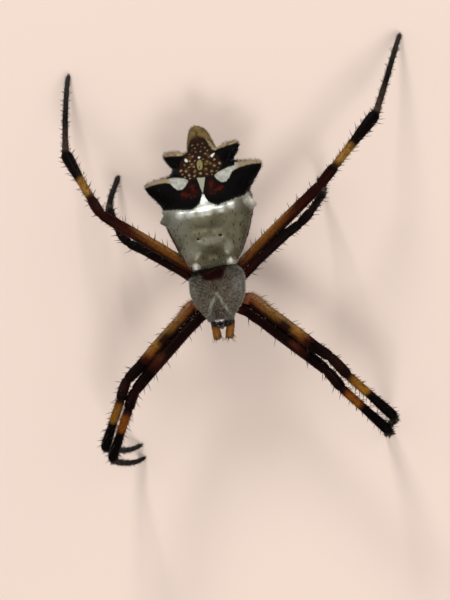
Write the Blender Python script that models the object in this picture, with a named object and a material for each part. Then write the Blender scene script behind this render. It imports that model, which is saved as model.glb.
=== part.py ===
"""An adult female silver orb weaver (Argiope argentata), life size, standing still on its eight feet.

The head looks along -Y, +X is the spider's own left and the feet stand on z = 0.
Every length below is in millimetres until the meshes are built.
"""

import math

import bmesh
import bpy
from mathutils import Matrix, Vector
from mathutils.bvhtree import BVHTree

for leftover in list(bpy.data.objects):
    bpy.data.objects.remove(leftover)

mm = 0.001
cut = 0.05      # the thin cut that parts two neighbouring pieces
weld = 0.0005   # points closer than this are one point

# Driving dimensions of the trunk.
margin_height = 6.2        # the carapace's lower edge above the floor
carapace_front = -2.4
carapace_rear = 2.6
shield_shift = -0.14       # the carapace and the mouth sit a little to the spider's right of the leg ring
coxa_height = 5.62
coxa_ring = (1.28, 1.32)   # half width and half length of the ring of leg roots
abdomen_body = 10.8        # the abdomen's length without its tail lobe
abdomen_start = (0.0, 2.1, 7.4)
abdomen_pitch = 17.0       # degrees, tail down
abdomen_roll = 6.0         # degrees, leaning to the spider's left
abdomen_yaw = 3.0          # tail to the spider's right
abdomen_skew = 0.05        # how far the left side lies behind the right, per unit of width

# Length and thickness of each leg segment, for leg pairs 1 to 4 from the head back.
segment_names = ("femur", "patella", "tibia", "metatarsus", "tarsus")
coxa_lengths = {1: 1.1, 2: 1.1, 3: 1.1, 4: 1.2}
segment_lengths = {
    1: (7.6, 1.9, 4.8, 6.05, 1.65),
    2: (7.6, 2.0, 4.6, 6.0, 1.65),
    3: (5.8, 1.4, 2.7, 3.6, 1.3),
    4: (8.7, 1.9, 5.1, 7.1, 1.6),
}
segment_widths = {
    1: (0.92, 0.82, 0.75, 0.52, 0.5),
    2: (0.89, 0.8, 0.75, 0.52, 0.5),
    3: (0.72, 0.7, 0.64, 0.52, 0.5),
    4: (0.86, 0.8, 0.72, 0.52, 0.5),
}

# Where each leg root sits round the carapace and which way its coxa points, in degrees from the head.
root_angles = {1: 42.0, 2: 72.0, 3: 116.0, 4: 145.0}
coxa_headings = {1: 68.0, 2: 82.0, 3: 136.0, 4: 136.0}
coxa_rises = {1: 2.0, 2: 6.0, 3: -8.0, 4: 4.0}

# The pose: heading is degrees outward from straight ahead, rise is degrees above level. The metatarsus
# has a heading only, as its slope is whatever brings the foot down to the floor.
poses = {
    ("left", 1): ((47, 7), (36, 20), (42, 4.5), (-71, None), (-30, -77)),
    ("left", 2): ((48, 11), (38, 12), (42, -1), (-52, None), (-57, -78)),
    ("left", 3): ((124.5, 9), (129, 19), (151, -55), (204, None), (209, -61)),
    ("left", 4): ((128, 3), (133, 13), (137, -14), (161, None), (163, -54)),
    ("right", 1): ((45, 20), (16, 46), (30, -26), (-26, None), (-111, -67)),
    ("right", 2): ((46, 18), (14, 43), (30, -26), (-49, None), (-108, -64)),
    ("right", 3): ((125.5, 7), (147, -16), (153, -40), (184, None), (185, -59)),
    ("right", 4): ((128.5, 22), (148, -34), (151, -29), (177.5, None), (178.5, -51)),
}

tan_brown = (0.32, 0.13, 0.03)
dark_brown = (0.05, 0.015, 0.008)
near_black = (0.012, 0.01, 0.009)


def material(slot, colour, roughness, metallic=0.0):
    """One Principled material for a slot, made once."""
    made = bpy.data.materials.get(slot) or bpy.data.materials.new(slot)
    made.use_nodes = True
    shader = made.node_tree.nodes["Principled BSDF"]
    shader.inputs["Base Color"].default_value = (*colour, 1.0)
    shader.inputs["Roughness"].default_value = roughness
    shader.inputs["Metallic"].default_value = metallic
    made.diffuse_color = (*colour, 1.0)
    return made


silver_down = material("silver_down", (0.28, 0.27, 0.23), 0.6)
silver_hide = material("silver_hide", (0.55, 0.54, 0.48), 0.35)
leg_brown = material("leg_brown", tan_brown, 0.35)
leg_dark = material("leg_dark", dark_brown, 0.35)
leg_black = material("leg_black", near_black, 0.45)
mouth_tan = material("mouth_tan", (0.3, 0.12, 0.025), 0.4)
eye_black = material("eye_black", (0.005, 0.004, 0.004), 0.08)

spider = bpy.data.objects.new("spider", None)
bpy.context.scene.collection.objects.link(spider)


def add_part(name, shape, slot):
    """Turns a bmesh into a named object under the spider's empty."""
    mesh = bpy.data.meshes.new(name)
    shape.to_mesh(mesh)
    shape.free()
    mesh.shade_smooth()
    mesh.set_sharp_from_angle(angle=math.radians(50))
    mesh.materials.append(slot)
    part = bpy.data.objects.new(name, mesh)
    bpy.context.scene.collection.objects.link(part)
    part.parent = spider
    return part


def curve(points, at):
    """A smooth curve through a few (position, value) points, flat beyond its ends."""
    if at <= points[0][0]:
        return points[0][1]
    for index in range(len(points) - 1):
        (x0, y0), (x1, y1) = points[index], points[index + 1]
        if at <= x1:
            before = points[max(index - 1, 0)]
            after = points[min(index + 2, len(points) - 1)]
            slope0 = (y1 - before[1]) / (x1 - before[0]) * (x1 - x0)
            slope1 = (after[1] - y0) / (after[0] - x0) * (x1 - x0)
            t = (at - x0) / (x1 - x0)
            return (
                (2 * t**3 - 3 * t**2 + 1) * y0
                + (t**3 - 2 * t**2 + t) * slope0
                + (3 * t**2 - 2 * t**3) * y1
                + (t**3 - t**2) * slope1
            )
    return points[-1][1]


def rolled_sheet(around, along, place):
    """A grid rolled into a tube with filled ends; place(turn, run) gives the points, both from 0 to 1."""
    sheet = bmesh.new()
    bmesh.ops.create_grid(sheet, x_segments=around, y_segments=along, size=0.5)
    for vert in sheet.verts:
        vert.co = place(vert.co.x + 0.5, vert.co.y + 0.5) * mm
    bmesh.ops.remove_doubles(sheet, verts=sheet.verts, dist=weld * mm)
    rims = [edge for edge in sheet.edges if edge.is_boundary]
    bmesh.ops.holes_fill(sheet, edges=rims, sides=0)
    bmesh.ops.recalc_face_normals(sheet, faces=sheet.faces)
    return sheet


def oval(turn, half_width, top, bottom, fullness=1.0):
    """A point on an oval section: x across, z up, with its own height above and below the middle."""
    angle = turn * math.tau
    across, up = math.cos(angle), math.sin(angle)
    height = top if up > 0 else bottom
    return (
        half_width * math.copysign(abs(across) ** fullness, across),
        height * math.copysign(abs(up) ** fullness, up),
    )


# The carapace: a low shield, pear-shaped from above, with the raised head in front.
carapace_widths = (
    (-2.4, 0.74), (-2.1, 0.84), (-1.5, 1.1), (-0.9, 1.62), (-0.1, 2.02), (0.8, 2.12), (1.7, 1.95), (2.6, 0.9),
)
carapace_tops = ((-2.4, 0.62), (-1.9, 0.98), (-1.0, 1.16), (0.0, 1.02), (0.9, 0.9), (1.8, 0.5), (2.6, 0.1))


def carapace_point(turn, run):
    y = carapace_front + (carapace_rear - carapace_front) * run
    half_width = curve(carapace_widths, y)
    x, z = oval(turn, half_width, curve(carapace_tops, y), 0.12, 0.85)
    fovea = 0.16 * math.exp(-((y - 0.5) / 0.45) ** 2 - (x / 0.3) ** 2)
    return Vector((shield_shift + x, y, margin_height + z - (fovea if z > 0 else 0)))


def carapace():
    return add_part("carapace", rolled_sheet(28, 18, carapace_point), silver_down)


def sternum():
    """The heart-shaped plate between the coxae, with the lip at its front."""
    widths = ((-1.75, 0.3), (-1.2, 0.5), (-0.7, 0.78), (0.1, 0.8), (0.8, 0.6), (1.35, 0.22))

    def place(turn, run):
        y = -1.75 + 3.1 * run
        x, z = oval(turn, curve(widths, y), 0.3, 0.42, 0.75)
        return Vector((x, y, coxa_height + 0.06 + z))

    return add_part("sternum", rolled_sheet(14, 8, place), leg_dark)


def pedicel():
    """The narrow waist between the carapace's rear slope and the abdomen."""
    start, end = Vector((0, 1.5, coxa_height)), Vector((0, 2.8, coxa_height - 0.05))

    def place(turn, run):
        x, z = oval(turn, 0.36 + 0.06 * abs(2 * run - 1), 0.32, 0.32)
        return start.lerp(end, run) + Vector((x, 0, z))

    return add_part("pedicel", rolled_sheet(10, 4, place), leg_dark)


# The abdomen in its own frame: y runs from the front edge to the tail, z is up and x is to the left.
abdomen_widths = (
    (0.0, 0.9), (0.2, 1.65), (0.9, 2.15), (2.6, 2.9), (4.2, 3.36), (4.9, 3.4), (5.6, 3.15), (7.0, 2.8),
    (8.3, 2.2), (8.7, 1.8), (9.0, 1.5), (9.3, 1.2), (9.7, 1.04), (10.0, 0.93), (10.8, 0.5),
)
abdomen_tops = (
    (0.0, 0.55), (0.6, 1.05), (2.5, 1.3), (4.8, 1.55), (6.5, 1.1), (8.3, 0.85), (10.0, 0.6), (10.8, 0.3),
)
abdomen_bottoms = (
    (0.0, 0.25), (0.6, 0.6), (1.3, 1.55), (2.3, 2.5), (4.5, 3.1), (6.6, 2.9), (8.2, 1.9), (9.8, 0.9),
    (10.8, 0.35),
)

# Each pull draws the surface out to a tip: tip, where its root is, how wide the root is, how sharp, and
# how much farther back it lies on the left than in the middle.
abdomen_pulls = (
    ((1.4, 0.0, 0.75), (1.15, 0.4, 0.55), 1.0, 1.0, 0.0),       # front humps
    ((3.74, 4.2, 0.3), (3.3, 4.26, 0.25), 0.6, 0.8, 0.06),       # white side points
    ((4.4, 7.2, 0.8), (2.7, 6.55, 0.4), 1.5, 1.1, 0.15),        # large side lobes
    ((2.84, 9.58, 0.7), (1.68, 8.86, 0.3), 0.9, 1.8, -0.06),     # small side lobes
)
tail_pull = ((-0.26, 11.3, 0.3), (-0.1, 10.2, 0.2), 1.25, 1.1)


def pulled(point, tip, root, reach, sharpness):
    """Moves a point toward a tip by how near it is to the pull's root."""
    tip, root = Vector(tip), Vector(root)
    nearness = max(0.0, 1.0 - (point - root).length / reach)
    return point + (tip - root) * (3 * nearness**2 - 2 * nearness**3) ** (1 / sharpness)


def abdomen_point(turn, run):
    y = abdomen_body * (run - 0.12 * math.sin(math.tau * run) / math.tau)
    x, z = oval(turn, curve(abdomen_widths, y), curve(abdomen_tops, y), curve(abdomen_bottoms, y), 0.86)
    return Vector((x, y, z))


def abdomen_shape(turn, run):
    base = abdomen_point(turn, run)
    point = base.copy()
    for tip, root, reach, sharpness, slant in abdomen_pulls:
        for side in (1, -1):
            mirrored = [Vector((side * p[0], p[1] + side * slant, p[2])) for p in (tip, root)]
            point += pulled(base, *mirrored, reach, sharpness) - base
    point += pulled(base, *tail_pull) - base
    return point + Vector((0, abdomen_skew * point.x, 0))


abdomen_frame = (
    Matrix.Translation(abdomen_start)
    @ Matrix.Rotation(math.radians(abdomen_yaw), 4, "Z")
    @ Matrix.Rotation(math.radians(-abdomen_pitch), 4, "X")
    @ Matrix.Rotation(math.radians(abdomen_roll), 4, "Y")
)


def abdomen():
    def place(turn, run):
        return abdomen_frame @ abdomen_shape(turn, run)

    return add_part("abdomen", rolled_sheet(32, 40, place), silver_hide)


def spinnerets():
    """A blunt cone of spinnerets under the abdomen, behind its deepest point."""
    belly = Vector((0, 7.2, curve(abdomen_bottoms, 7.2) * -1))
    start, end = belly + Vector((0, 0.35, 0.0)), belly + Vector((0, 0.75, -0.75))

    def place(turn, run):
        radius = 0.52 - 0.27 * run**1.5
        x, y = radius * math.cos(turn * math.tau), radius * math.sin(turn * math.tau)
        slope = 0.42 * (y + 0.35) * (1 - run)
        return abdomen_frame @ (start.lerp(end, run) + Vector((x, y, slope - cut)))

    return add_part("spinnerets", rolled_sheet(12, 4, place), leg_dark)


def dome(name, seat, normal, radius, height, slot):
    """A lens-shaped cap whose flat base sits just off a surface."""
    turned = normal.to_track_quat("Z", "Y")

    def place(turn, run):
        angle = math.radians(84) * run
        rim = radius * math.cos(angle)
        x, y = rim * math.cos(turn * math.tau), rim * math.sin(turn * math.tau)
        return seat + turned @ Vector((x, y, height * math.sin(angle) + cut / 2))

    return add_part(name, rolled_sheet(8, 4, place), slot)


# Eyes: name, how far out from the midline, how far forward, radius. They look outward from the head.
eye_rows = (
    ("anterior_median", 0.2, -2.33, 0.12),
    ("posterior_median", 0.25, -2.02, 0.12),
    ("anterior_lateral", 0.6, -2.3, 0.08),
    ("posterior_lateral", 0.68, -2.06, 0.08),
)


def eyes(carapace_part):
    """Eight eyes in two rows, each seated where a line from inside the head meets the carapace."""
    shell = bmesh.new()
    shell.from_mesh(carapace_part.data)
    tree = BVHTree.FromBMesh(shell)
    for name, out, forward, radius in eye_rows:
        for side, sign in (("left", 1), ("right", -1)):
            inside = Vector((shield_shift + sign * out * 0.5, -1.7, margin_height + 0.3))
            aim = Vector((shield_shift + sign * out, forward, margin_height + 0.75)) - inside
            seat, normal, _, _ = tree.ray_cast(inside * mm, aim.normalized())
            dome(f"eye_{name}_{side}", seat / mm, normal, radius, radius * 0.75, eye_black)
    shell.free()


def tube(name, stations, sides, start_plane, end_plane, slot):
    """A limb piece through stations of (centre, half width, half height), its ends cut on two planes."""
    centres = [station[0] for station in stations]
    last = len(stations) - 1

    def place(turn, run):
        index = round(run * last)
        centre, half_width, half_height = stations[index]
        along = (centres[min(index + 1, last)] - centres[max(index - 1, 0)]).normalized()
        across = along.cross(Vector((0, 0, 1))).normalized()
        angle = turn * math.tau
        offset = across * half_width * math.cos(angle) + across.cross(along) * half_height * math.sin(angle)
        plane = start_plane if index == 0 else end_plane if index == last else None
        if plane is not None:
            offset -= along * offset.dot(plane) / along.dot(plane)
        return centre + offset

    return add_part(name, rolled_sheet(sides, last, place), slot)


def direction(side, heading, rise):
    """A unit vector from a heading outward from straight ahead and a rise above level."""
    sign = 1 if side == "left" else -1
    heading, rise = math.radians(heading), math.radians(rise)
    level = math.cos(rise)
    return Vector((sign * math.sin(heading) * level, -math.cos(heading) * level, math.sin(rise)))


def leg_joints(side, pair):
    """The root, the hip and then the far end of each segment, the last one on the floor."""
    sign = 1 if side == "left" else -1
    angle = math.radians(root_angles[pair])
    root = Vector((sign * coxa_ring[0] * math.sin(angle), -coxa_ring[1] * math.cos(angle), coxa_height))
    joints = [root, root + direction(side, coxa_headings[pair], coxa_rises[pair]) * coxa_lengths[pair]]
    lengths, pose = segment_lengths[pair], poses[side, pair]
    for length, (heading, rise) in zip(lengths[:3], pose[:3]):
        joints.append(joints[-1] + direction(side, heading, rise) * length)
    foot_drop = lengths[4] * math.sin(math.radians(-pose[4][1]))
    slope = -math.degrees(math.asin((joints[-1].z - foot_drop) / lengths[3]))
    joints.append(joints[-1] + direction(side, pose[3][0], slope) * lengths[3])
    joints.append(joints[-1] + direction(side, *pose[4]) * lengths[4])
    return joints


def between(start, end, fractions, radius, bow):
    """Stations along a segment: a little narrower at its joints and bowed up and away from the body."""
    way = (end - start).normalized()
    outward = Vector((start.x, start.y, 0)).normalized() + Vector((0, 0, 1))
    outer_side = (outward - way * outward.dot(way)).normalized()
    return [
        (start.lerp(end, f) + outer_side * bow * math.sin(math.pi * f), radius * swell, radius * swell)
        for f, swell in fractions
    ]


segment_fractions = {
    "femur": ((0.0, 0.84), (0.1, 1.0), (0.3, 1.06), (0.6, 1.04), (0.85, 0.96), (0.95, 0.9), (1.0, 0.84)),
    "patella": ((0.0, 0.9), (0.2, 1.0), (0.5, 1.02), (0.8, 0.98), (1.0, 0.88)),
    "tibia": ((0.0, 0.86), (0.12, 0.9), (0.45, 0.86), (0.75, 1.0), (0.9, 1.04), (1.0, 0.94)),
    "metatarsus": ((0.0, 1.0), (0.15, 1.02), (0.4, 1.0), (0.7, 0.97), (1.0, 0.96)),
    "tarsus": ((0.0, 1.0), (0.3, 0.98), (0.65, 0.94), (1.0, 0.86)),
}
rear_tibia = ((0.0, 0.86), (0.12, 0.9), (0.4, 0.92), (0.65, 1.14), (0.86, 1.3), (1.0, 1.1))   # leg pair 4
segment_bows = {"femur": 0.13, "patella": 0.05, "tibia": 0.05, "metatarsus": 0.1, "tarsus": 0.05}
segment_sides = {"femur": 10, "patella": 10, "tibia": 8, "metatarsus": 8, "tarsus": 8}
segment_slots = {
    "femur": leg_brown, "patella": leg_dark, "tibia": leg_brown, "metatarsus": leg_black, "tarsus": leg_black,
}


def leg(side, pair):
    """Five pieces, the first one the femur with its coxa, parted by cuts that halve each bend."""
    joints = leg_joints(side, pair)
    ways = [(end - start).normalized() for start, end in zip(joints, joints[1:])]
    planes = [ways[0]] + [(a + b).normalized() for a, b in zip(ways, ways[1:])] + [Vector((0, 0, -1))]
    for index, name in enumerate(segment_names):
        radius = segment_widths[pair][index] / 2
        start_plane, end_plane = planes[index + 1], planes[index + 2]
        start = joints[index + 1] + start_plane * cut / 2
        end = joints[index + 2] - (end_plane * cut / 2 if index < 4 else Vector())
        fractions = rear_tibia if pair == 4 and name == "tibia" else segment_fractions[name]
        stations = between(start, end, fractions, radius, segment_bows[name])
        if index == 0:
            start_plane = planes[0]
            middle = joints[0].lerp(joints[1], 0.5)
            coxa = [(joints[0], radius * 0.66, radius * 0.8), (middle, radius * 0.82, radius * 0.88)]
            stations = coxa + [(joints[1], radius * 0.9, radius * 0.86)] + stations[1:]
        sides, slot = segment_sides[name], segment_slots[name]
        tube(f"leg_{pair}_{side}_{name}", stations, sides, start_plane, end_plane, slot)


# The bends of a pedipalp, measured from the middle of the carapace's lower edge, and its radius at each.
palp_bends = (
    ((0.7, -1.95, -0.85), 0.2),
    ((0.79, -2.12, -0.55), 0.23),
    ((0.64, -2.4, -0.4), 0.27),
    ((0.53, -2.75, -0.42), 0.3),
    ((0.5, -3.1, -0.55), 0.3),
    ((0.49, -3.36, -0.72), 0.2),
)
palp_lean = 0.12    # both palps lean to the spider's right by this much per millimetre in front of the head


def mouth(side, sign):
    """One chelicera, the fang folded under it and the pedipalp beside it."""
    top = Vector((shield_shift + sign * 0.24, -1.95, margin_height - 0.2))
    tip = Vector((shield_shift + sign * 0.26, -2.42, margin_height - 1.5))
    swells = ((0, 0.9), (0.3, 1), (0.7, 0.95), (1, 0.66))
    stations = [(top.lerp(tip, f), 0.2 * swell, 0.24 * swell) for f, swell in swells]
    level = Vector((0, 0, -1))
    tube(f"chelicera_{side}", stations, 10, level, level, mouth_tan)

    hinge = tip + Vector((sign * 0.04, 0, -cut - 0.1))
    point = tip + Vector((sign * -0.18, 0.12, -0.4))
    stations = [
        (hinge.lerp(point, f) - Vector((0, 0.05 * f, 0)), width, width)
        for f, width in ((0, 0.11), (0.5, 0.09), (1, 0.03))
    ]
    along = (point - hinge).normalized()
    tube(f"fang_{side}", stations, 8, along, along, leg_black)

    stations = []
    for (x, y, z), radius in palp_bends:
        lean = palp_lean * min(0.0, y - carapace_front)
        stations.append((Vector((shield_shift + lean + sign * x, y, margin_height + z)), radius, radius))
    first, final = stations[1][0] - stations[0][0], stations[-1][0] - stations[-2][0]
    tube(f"pedipalp_{side}", stations, 10, first.normalized(), final.normalized(), mouth_tan)


shield = carapace()
sternum()
pedicel()
abdomen()
spinnerets()
eyes(shield)
for side, sign in (("left", 1), ("right", -1)):
    mouth(side, sign)
    for pair in (1, 2, 3, 4):
        leg(side, pair)

# The origin is on the floor under the middle of the whole spider.
corners = [vert.co for part in spider.children for vert in part.data.vertices]
middle = [(min(c[axis] for c in corners) + max(c[axis] for c in corners)) / 2 for axis in (0, 1)]
spider.location = (-middle[0], -middle[1], 0.0)
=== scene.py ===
import math
import random

import bmesh
import bpy
import numpy as np
from mathutils import Matrix, Vector, noise


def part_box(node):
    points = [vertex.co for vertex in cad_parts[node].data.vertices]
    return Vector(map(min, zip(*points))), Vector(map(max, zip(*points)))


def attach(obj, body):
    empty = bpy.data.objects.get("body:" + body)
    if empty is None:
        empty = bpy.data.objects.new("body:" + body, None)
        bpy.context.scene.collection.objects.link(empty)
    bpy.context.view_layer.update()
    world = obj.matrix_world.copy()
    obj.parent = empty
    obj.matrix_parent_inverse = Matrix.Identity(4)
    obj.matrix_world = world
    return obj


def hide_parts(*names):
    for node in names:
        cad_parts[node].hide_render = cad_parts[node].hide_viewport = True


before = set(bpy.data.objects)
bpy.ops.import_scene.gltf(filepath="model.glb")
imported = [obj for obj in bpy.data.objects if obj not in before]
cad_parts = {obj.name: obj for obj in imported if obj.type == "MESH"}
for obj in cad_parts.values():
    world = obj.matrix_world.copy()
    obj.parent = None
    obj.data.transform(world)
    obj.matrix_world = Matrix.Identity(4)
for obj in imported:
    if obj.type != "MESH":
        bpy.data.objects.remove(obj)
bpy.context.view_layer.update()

# A life-size silver orb weaver, seen from above. Lengths are millimetres in the spider's own frame
# (head toward -y, its left side toward +x, floor at z 0) until a piece is finished.
mm = 0.001
shieldLow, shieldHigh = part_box("carapace")
shieldMiddle = -0.14    # the shield sits this far to the spider's right of its leg ring
shieldFront = -2.4      # and its front edge this far from the ring's middle
bodyShift = Vector((
    (shieldLow.x + shieldHigh.x) / 2 / mm - shieldMiddle, shieldLow.y / mm - shieldFront, 0))
scene = bpy.context.scene
scene.view_settings.view_transform = "Standard"
print("frame loaded,", len(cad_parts), "nodes")


# shaping

def curve(points, at):
    # a smooth curve through (position, value) points, flat beyond its ends
    if at <= points[0][0]:
        return points[0][1]
    for index in range(len(points) - 1):
        (x0, y0), (x1, y1) = points[index], points[index + 1]
        if at <= x1:
            before, after = points[max(index - 1, 0)], points[min(index + 2, len(points) - 1)]
            slope0 = (y1 - before[1]) / (x1 - before[0]) * (x1 - x0)
            slope1 = (after[1] - y0) / (after[0] - x0) * (x1 - x0)
            t = (at - x0) / (x1 - x0)
            rise = 3 * t**2 - 2 * t**3
            bend = (t**3 - 2 * t**2 + t) * slope0 + (t**3 - t**2) * slope1
            return (1 - rise) * y0 + rise * y1 + bend
    return points[-1][1]


def bell(distance, width):
    return math.exp(-(distance / width) ** 2)


def mix(a, b, amount):
    return a + (b - a) * amount


def oval(turn, halfWidth, top, bottom, fullness=1.0):
    # a point of an egg-shaped ring; a lower fullness makes it boxier
    across, up = math.cos(turn * math.tau), math.sin(turn * math.tau)
    height = top if up > 0 else bottom
    return (
        halfWidth * math.copysign(abs(across) ** fullness, across),
        height * math.copysign(abs(up) ** fullness, up),
    )


def rolled(around, along, place, form=None, finish=0):
    # a grid rolled into a closed skin; place(turn, run) gives the points, both from 0 to 1
    form = form or bmesh.new()
    if not form.loops.layers.uv.get("skin"):
        form.loops.layers.uv.new("skin")
    old = set(form.verts)
    bmesh.ops.create_grid(form, x_segments=around, y_segments=along, size=0.5, calc_uvs=True)
    fresh = [vert for vert in form.verts if vert not in old]
    for vert in fresh:
        vert.co = place(vert.co.x + 0.5, vert.co.y + 0.5)
    bmesh.ops.remove_doubles(form, verts=fresh, dist=0.0005)
    fresh = [vert for vert in form.verts if vert not in old]
    faces = list({face for vert in fresh for face in vert.link_faces})
    for face in faces:
        face.material_index = finish
    bmesh.ops.recalc_face_normals(form, faces=faces)
    return form


def putInScene(name, mesh, finishes):
    mesh.shade_smooth()
    for finish in finishes:
        mesh.materials.append(finish)
    made = bpy.data.objects.new(name, mesh)
    scene.collection.objects.link(made)
    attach(made, "root")
    return made


def finishPiece(name, form, finishes, nodes=()):
    # turns millimetres of the spider's frame into the model's metres and puts the piece in the scene
    for vert in form.verts:
        vert.co = (vert.co + bodyShift) * mm
    mesh = bpy.data.meshes.new(name)
    form.to_mesh(mesh)
    form.free()
    made = putInScene(name, mesh, finishes)
    if nodes:
        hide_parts(*nodes)
    print(name, len(mesh.polygons), "faces")


# materials

def tint(red, green, blue):
    # an everyday 0 to 255 colour as linear light
    return tuple(c / 255 / 12.92 if c < 10.3 else ((c / 255 + 0.055) / 1.055) ** 2.4
                 for c in (red, green, blue)) + (1.0,)


def linearTones(tones):
    return {name: tint(*tone) for name, tone in tones.items()}


class Value:
    # a number socket that takes sums, products and soft steps
    def __init__(self, finish, socket):
        self.finish, self.socket = finish, socket

    def maths(self, operation, *others, clamp=False):
        values = [other.socket if isinstance(other, Value) else other for other in others]
        sockets = dict(enumerate(values))
        made = self.finish.add("ShaderNodeMath", {"operation": operation, "use_clamp": clamp}, sockets)
        return Value(self.finish, made.outputs[0])

    def __add__(self, other):
        return self.maths("ADD", self, other)

    def __sub__(self, other):
        return self.maths("SUBTRACT", self, other)

    def __rsub__(self, other):
        return self.maths("SUBTRACT", other, self)

    def __mul__(self, other):
        return self.maths("MULTIPLY", self, other)

    def __truediv__(self, other):
        return self.maths("DIVIDE", self, other)

    def __pow__(self, other):
        return self.maths("POWER", self, other)

    __radd__, __rmul__ = __add__, __mul__

    def size(self):
        return self.maths("ABSOLUTE", self)

    def most(self, other):
        return self.maths("MAXIMUM", self, other)

    def least(self, other):
        return self.maths("MINIMUM", self, other)

    def above(self, edge, soft=0.05):
        # 0 below the edge, 1 above it, with a soft step between
        return self.maths("MULTIPLY_ADD", self - edge, 1 / soft, 0.5, clamp=True)

    def below(self, edge, soft=0.05):
        return (edge - self).above(0.0, soft)


class Finish:
    # a material that is built up in words
    def __init__(self, name, roughness=0.4, metallic=0.0, specular=0.5, **others):
        self.material = bpy.data.materials.new(name)
        self.material.use_nodes = True
        self.nodes, self.links = self.material.node_tree.nodes, self.material.node_tree.links
        self.shader = self.nodes["Principled BSDF"]
        self.shader.inputs["Roughness"].default_value = roughness
        self.shader.inputs["Metallic"].default_value = metallic
        self.shader.inputs["Specular IOR Level"].default_value = specular
        for socket, number in others.items():
            self.shader.inputs[socket.replace("_", " ")].default_value = number

    def add(self, kind, settings=None, sockets=None):
        made = self.nodes.new(kind)
        for setting, value in (settings or {}).items():
            if setting == "stops":
                while len(made.color_ramp.elements) < len(value):
                    made.color_ramp.elements.new(1.0)
                for element, (position, colour) in zip(made.color_ramp.elements, value):
                    element.position, element.color = position, colour
            else:
                setattr(made, setting, value)
        for socket, value in (sockets or {}).items():
            if isinstance(value, Value):
                value = value.socket
            if isinstance(value, bpy.types.NodeSocket):
                self.links.new(value, made.inputs[socket])
            else:
                made.inputs[socket].default_value = value
        return made

    def place(self, start, turned=(0.0, 0.0, 0.0)):
        # object coordinates as millimetres from a point of the spider's frame, turned with a part of it
        where = self.add("ShaderNodeTexCoord").outputs["Object"]
        return self.add("ShaderNodeMapping", {"vector_type": "TEXTURE"}, {
            "Vector": where, "Location": (Vector(start) + bodyShift) * mm, "Rotation": turned,
            "Scale": (mm, mm, mm)}).outputs["Vector"]

    def split(self, vector):
        parts = self.add("ShaderNodeSeparateXYZ", None, {"Vector": vector}).outputs
        return [Value(self, parts[axis]) for axis in range(3)]

    def joined(self, x, y, z=0.0):
        return self.add("ShaderNodeCombineXYZ", None, {"X": x, "Y": y, "Z": z}).outputs["Vector"]

    def scaled(self, vector, scale):
        return self.add("ShaderNodeVectorMath", {"operation": "MULTIPLY"}, {0: vector, 1: scale}).outputs[0]

    def cloud(self, vector, scale, detail=2.0):
        # soft noise round 0.5
        return Value(self, self.add("ShaderNodeTexNoise", None, {
            "Vector": vector, "Scale": scale, "Detail": detail, "Roughness": 0.55}).outputs["Fac"])

    def cells(self, vector, scale, feature="F1"):
        return Value(self, self.add("ShaderNodeTexVoronoi", {"feature": feature}, {
            "Vector": vector, "Scale": scale}).outputs["Distance"])

    def level(self, value, points, low=0.0, high=1.0):
        # reads a number off a line through (position, number) points
        first, last = points[0][0], points[-1][0]
        stops = [((place - first) / (last - first), ((number - low) / (high - low),) * 3 + (1.0,))
                 for place, number in points]
        grey = self.ramp((value - first) / (last - first), stops)
        return Value(self, grey) * (high - low) + low

    def ramp(self, value, stops):
        return self.add("ShaderNodeValToRGB", {"stops": stops}, {"Fac": value}).outputs["Color"]

    def blend(self, under, over, amount):
        # sockets 0, 6 and 7 are the factor and the two colours, and output 2 the mixed colour
        return self.add("ShaderNodeMix", {"data_type": "RGBA"}, {0: amount, 6: under, 7: over}).outputs[2]

    def layered(self, colour, tones, *layers):
        # lays named tones over a colour, each by its own amount
        for name, amount in layers:
            colour = self.blend(colour, tones[name], amount)
        return colour

    def spots(self, across, along, points, soft=0.5):
        # 1 inside round spots from (across, along, radius) points, fading over the outer part of each
        vector, found = self.joined(across, along), None
        for x, y, radius in points:
            far = Value(self, self.add("ShaderNodeVectorMath", {"operation": "DISTANCE"}, {
                0: vector, 1: (x, y, 0.0)}).outputs["Value"])
            spot = far.below(radius * (1 - soft / 2), radius * soft)
            found = found.most(spot) if found else spot
        return found

    def colour(self, socket):
        self.links.new(socket, self.shader.inputs["Base Color"])

    def drive(self, name, value):
        self.links.new(value.socket, self.shader.inputs[name])

    def bump(self, height, strength, distance=0.02):
        made = self.add("ShaderNodeBump", None, {
            "Strength": strength, "Distance": distance * mm, "Height": height})
        self.links.new(made.outputs["Normal"], self.shader.inputs["Normal"])


# the abdomen's shape: x across, y from its front edge to its tail, z up

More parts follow.
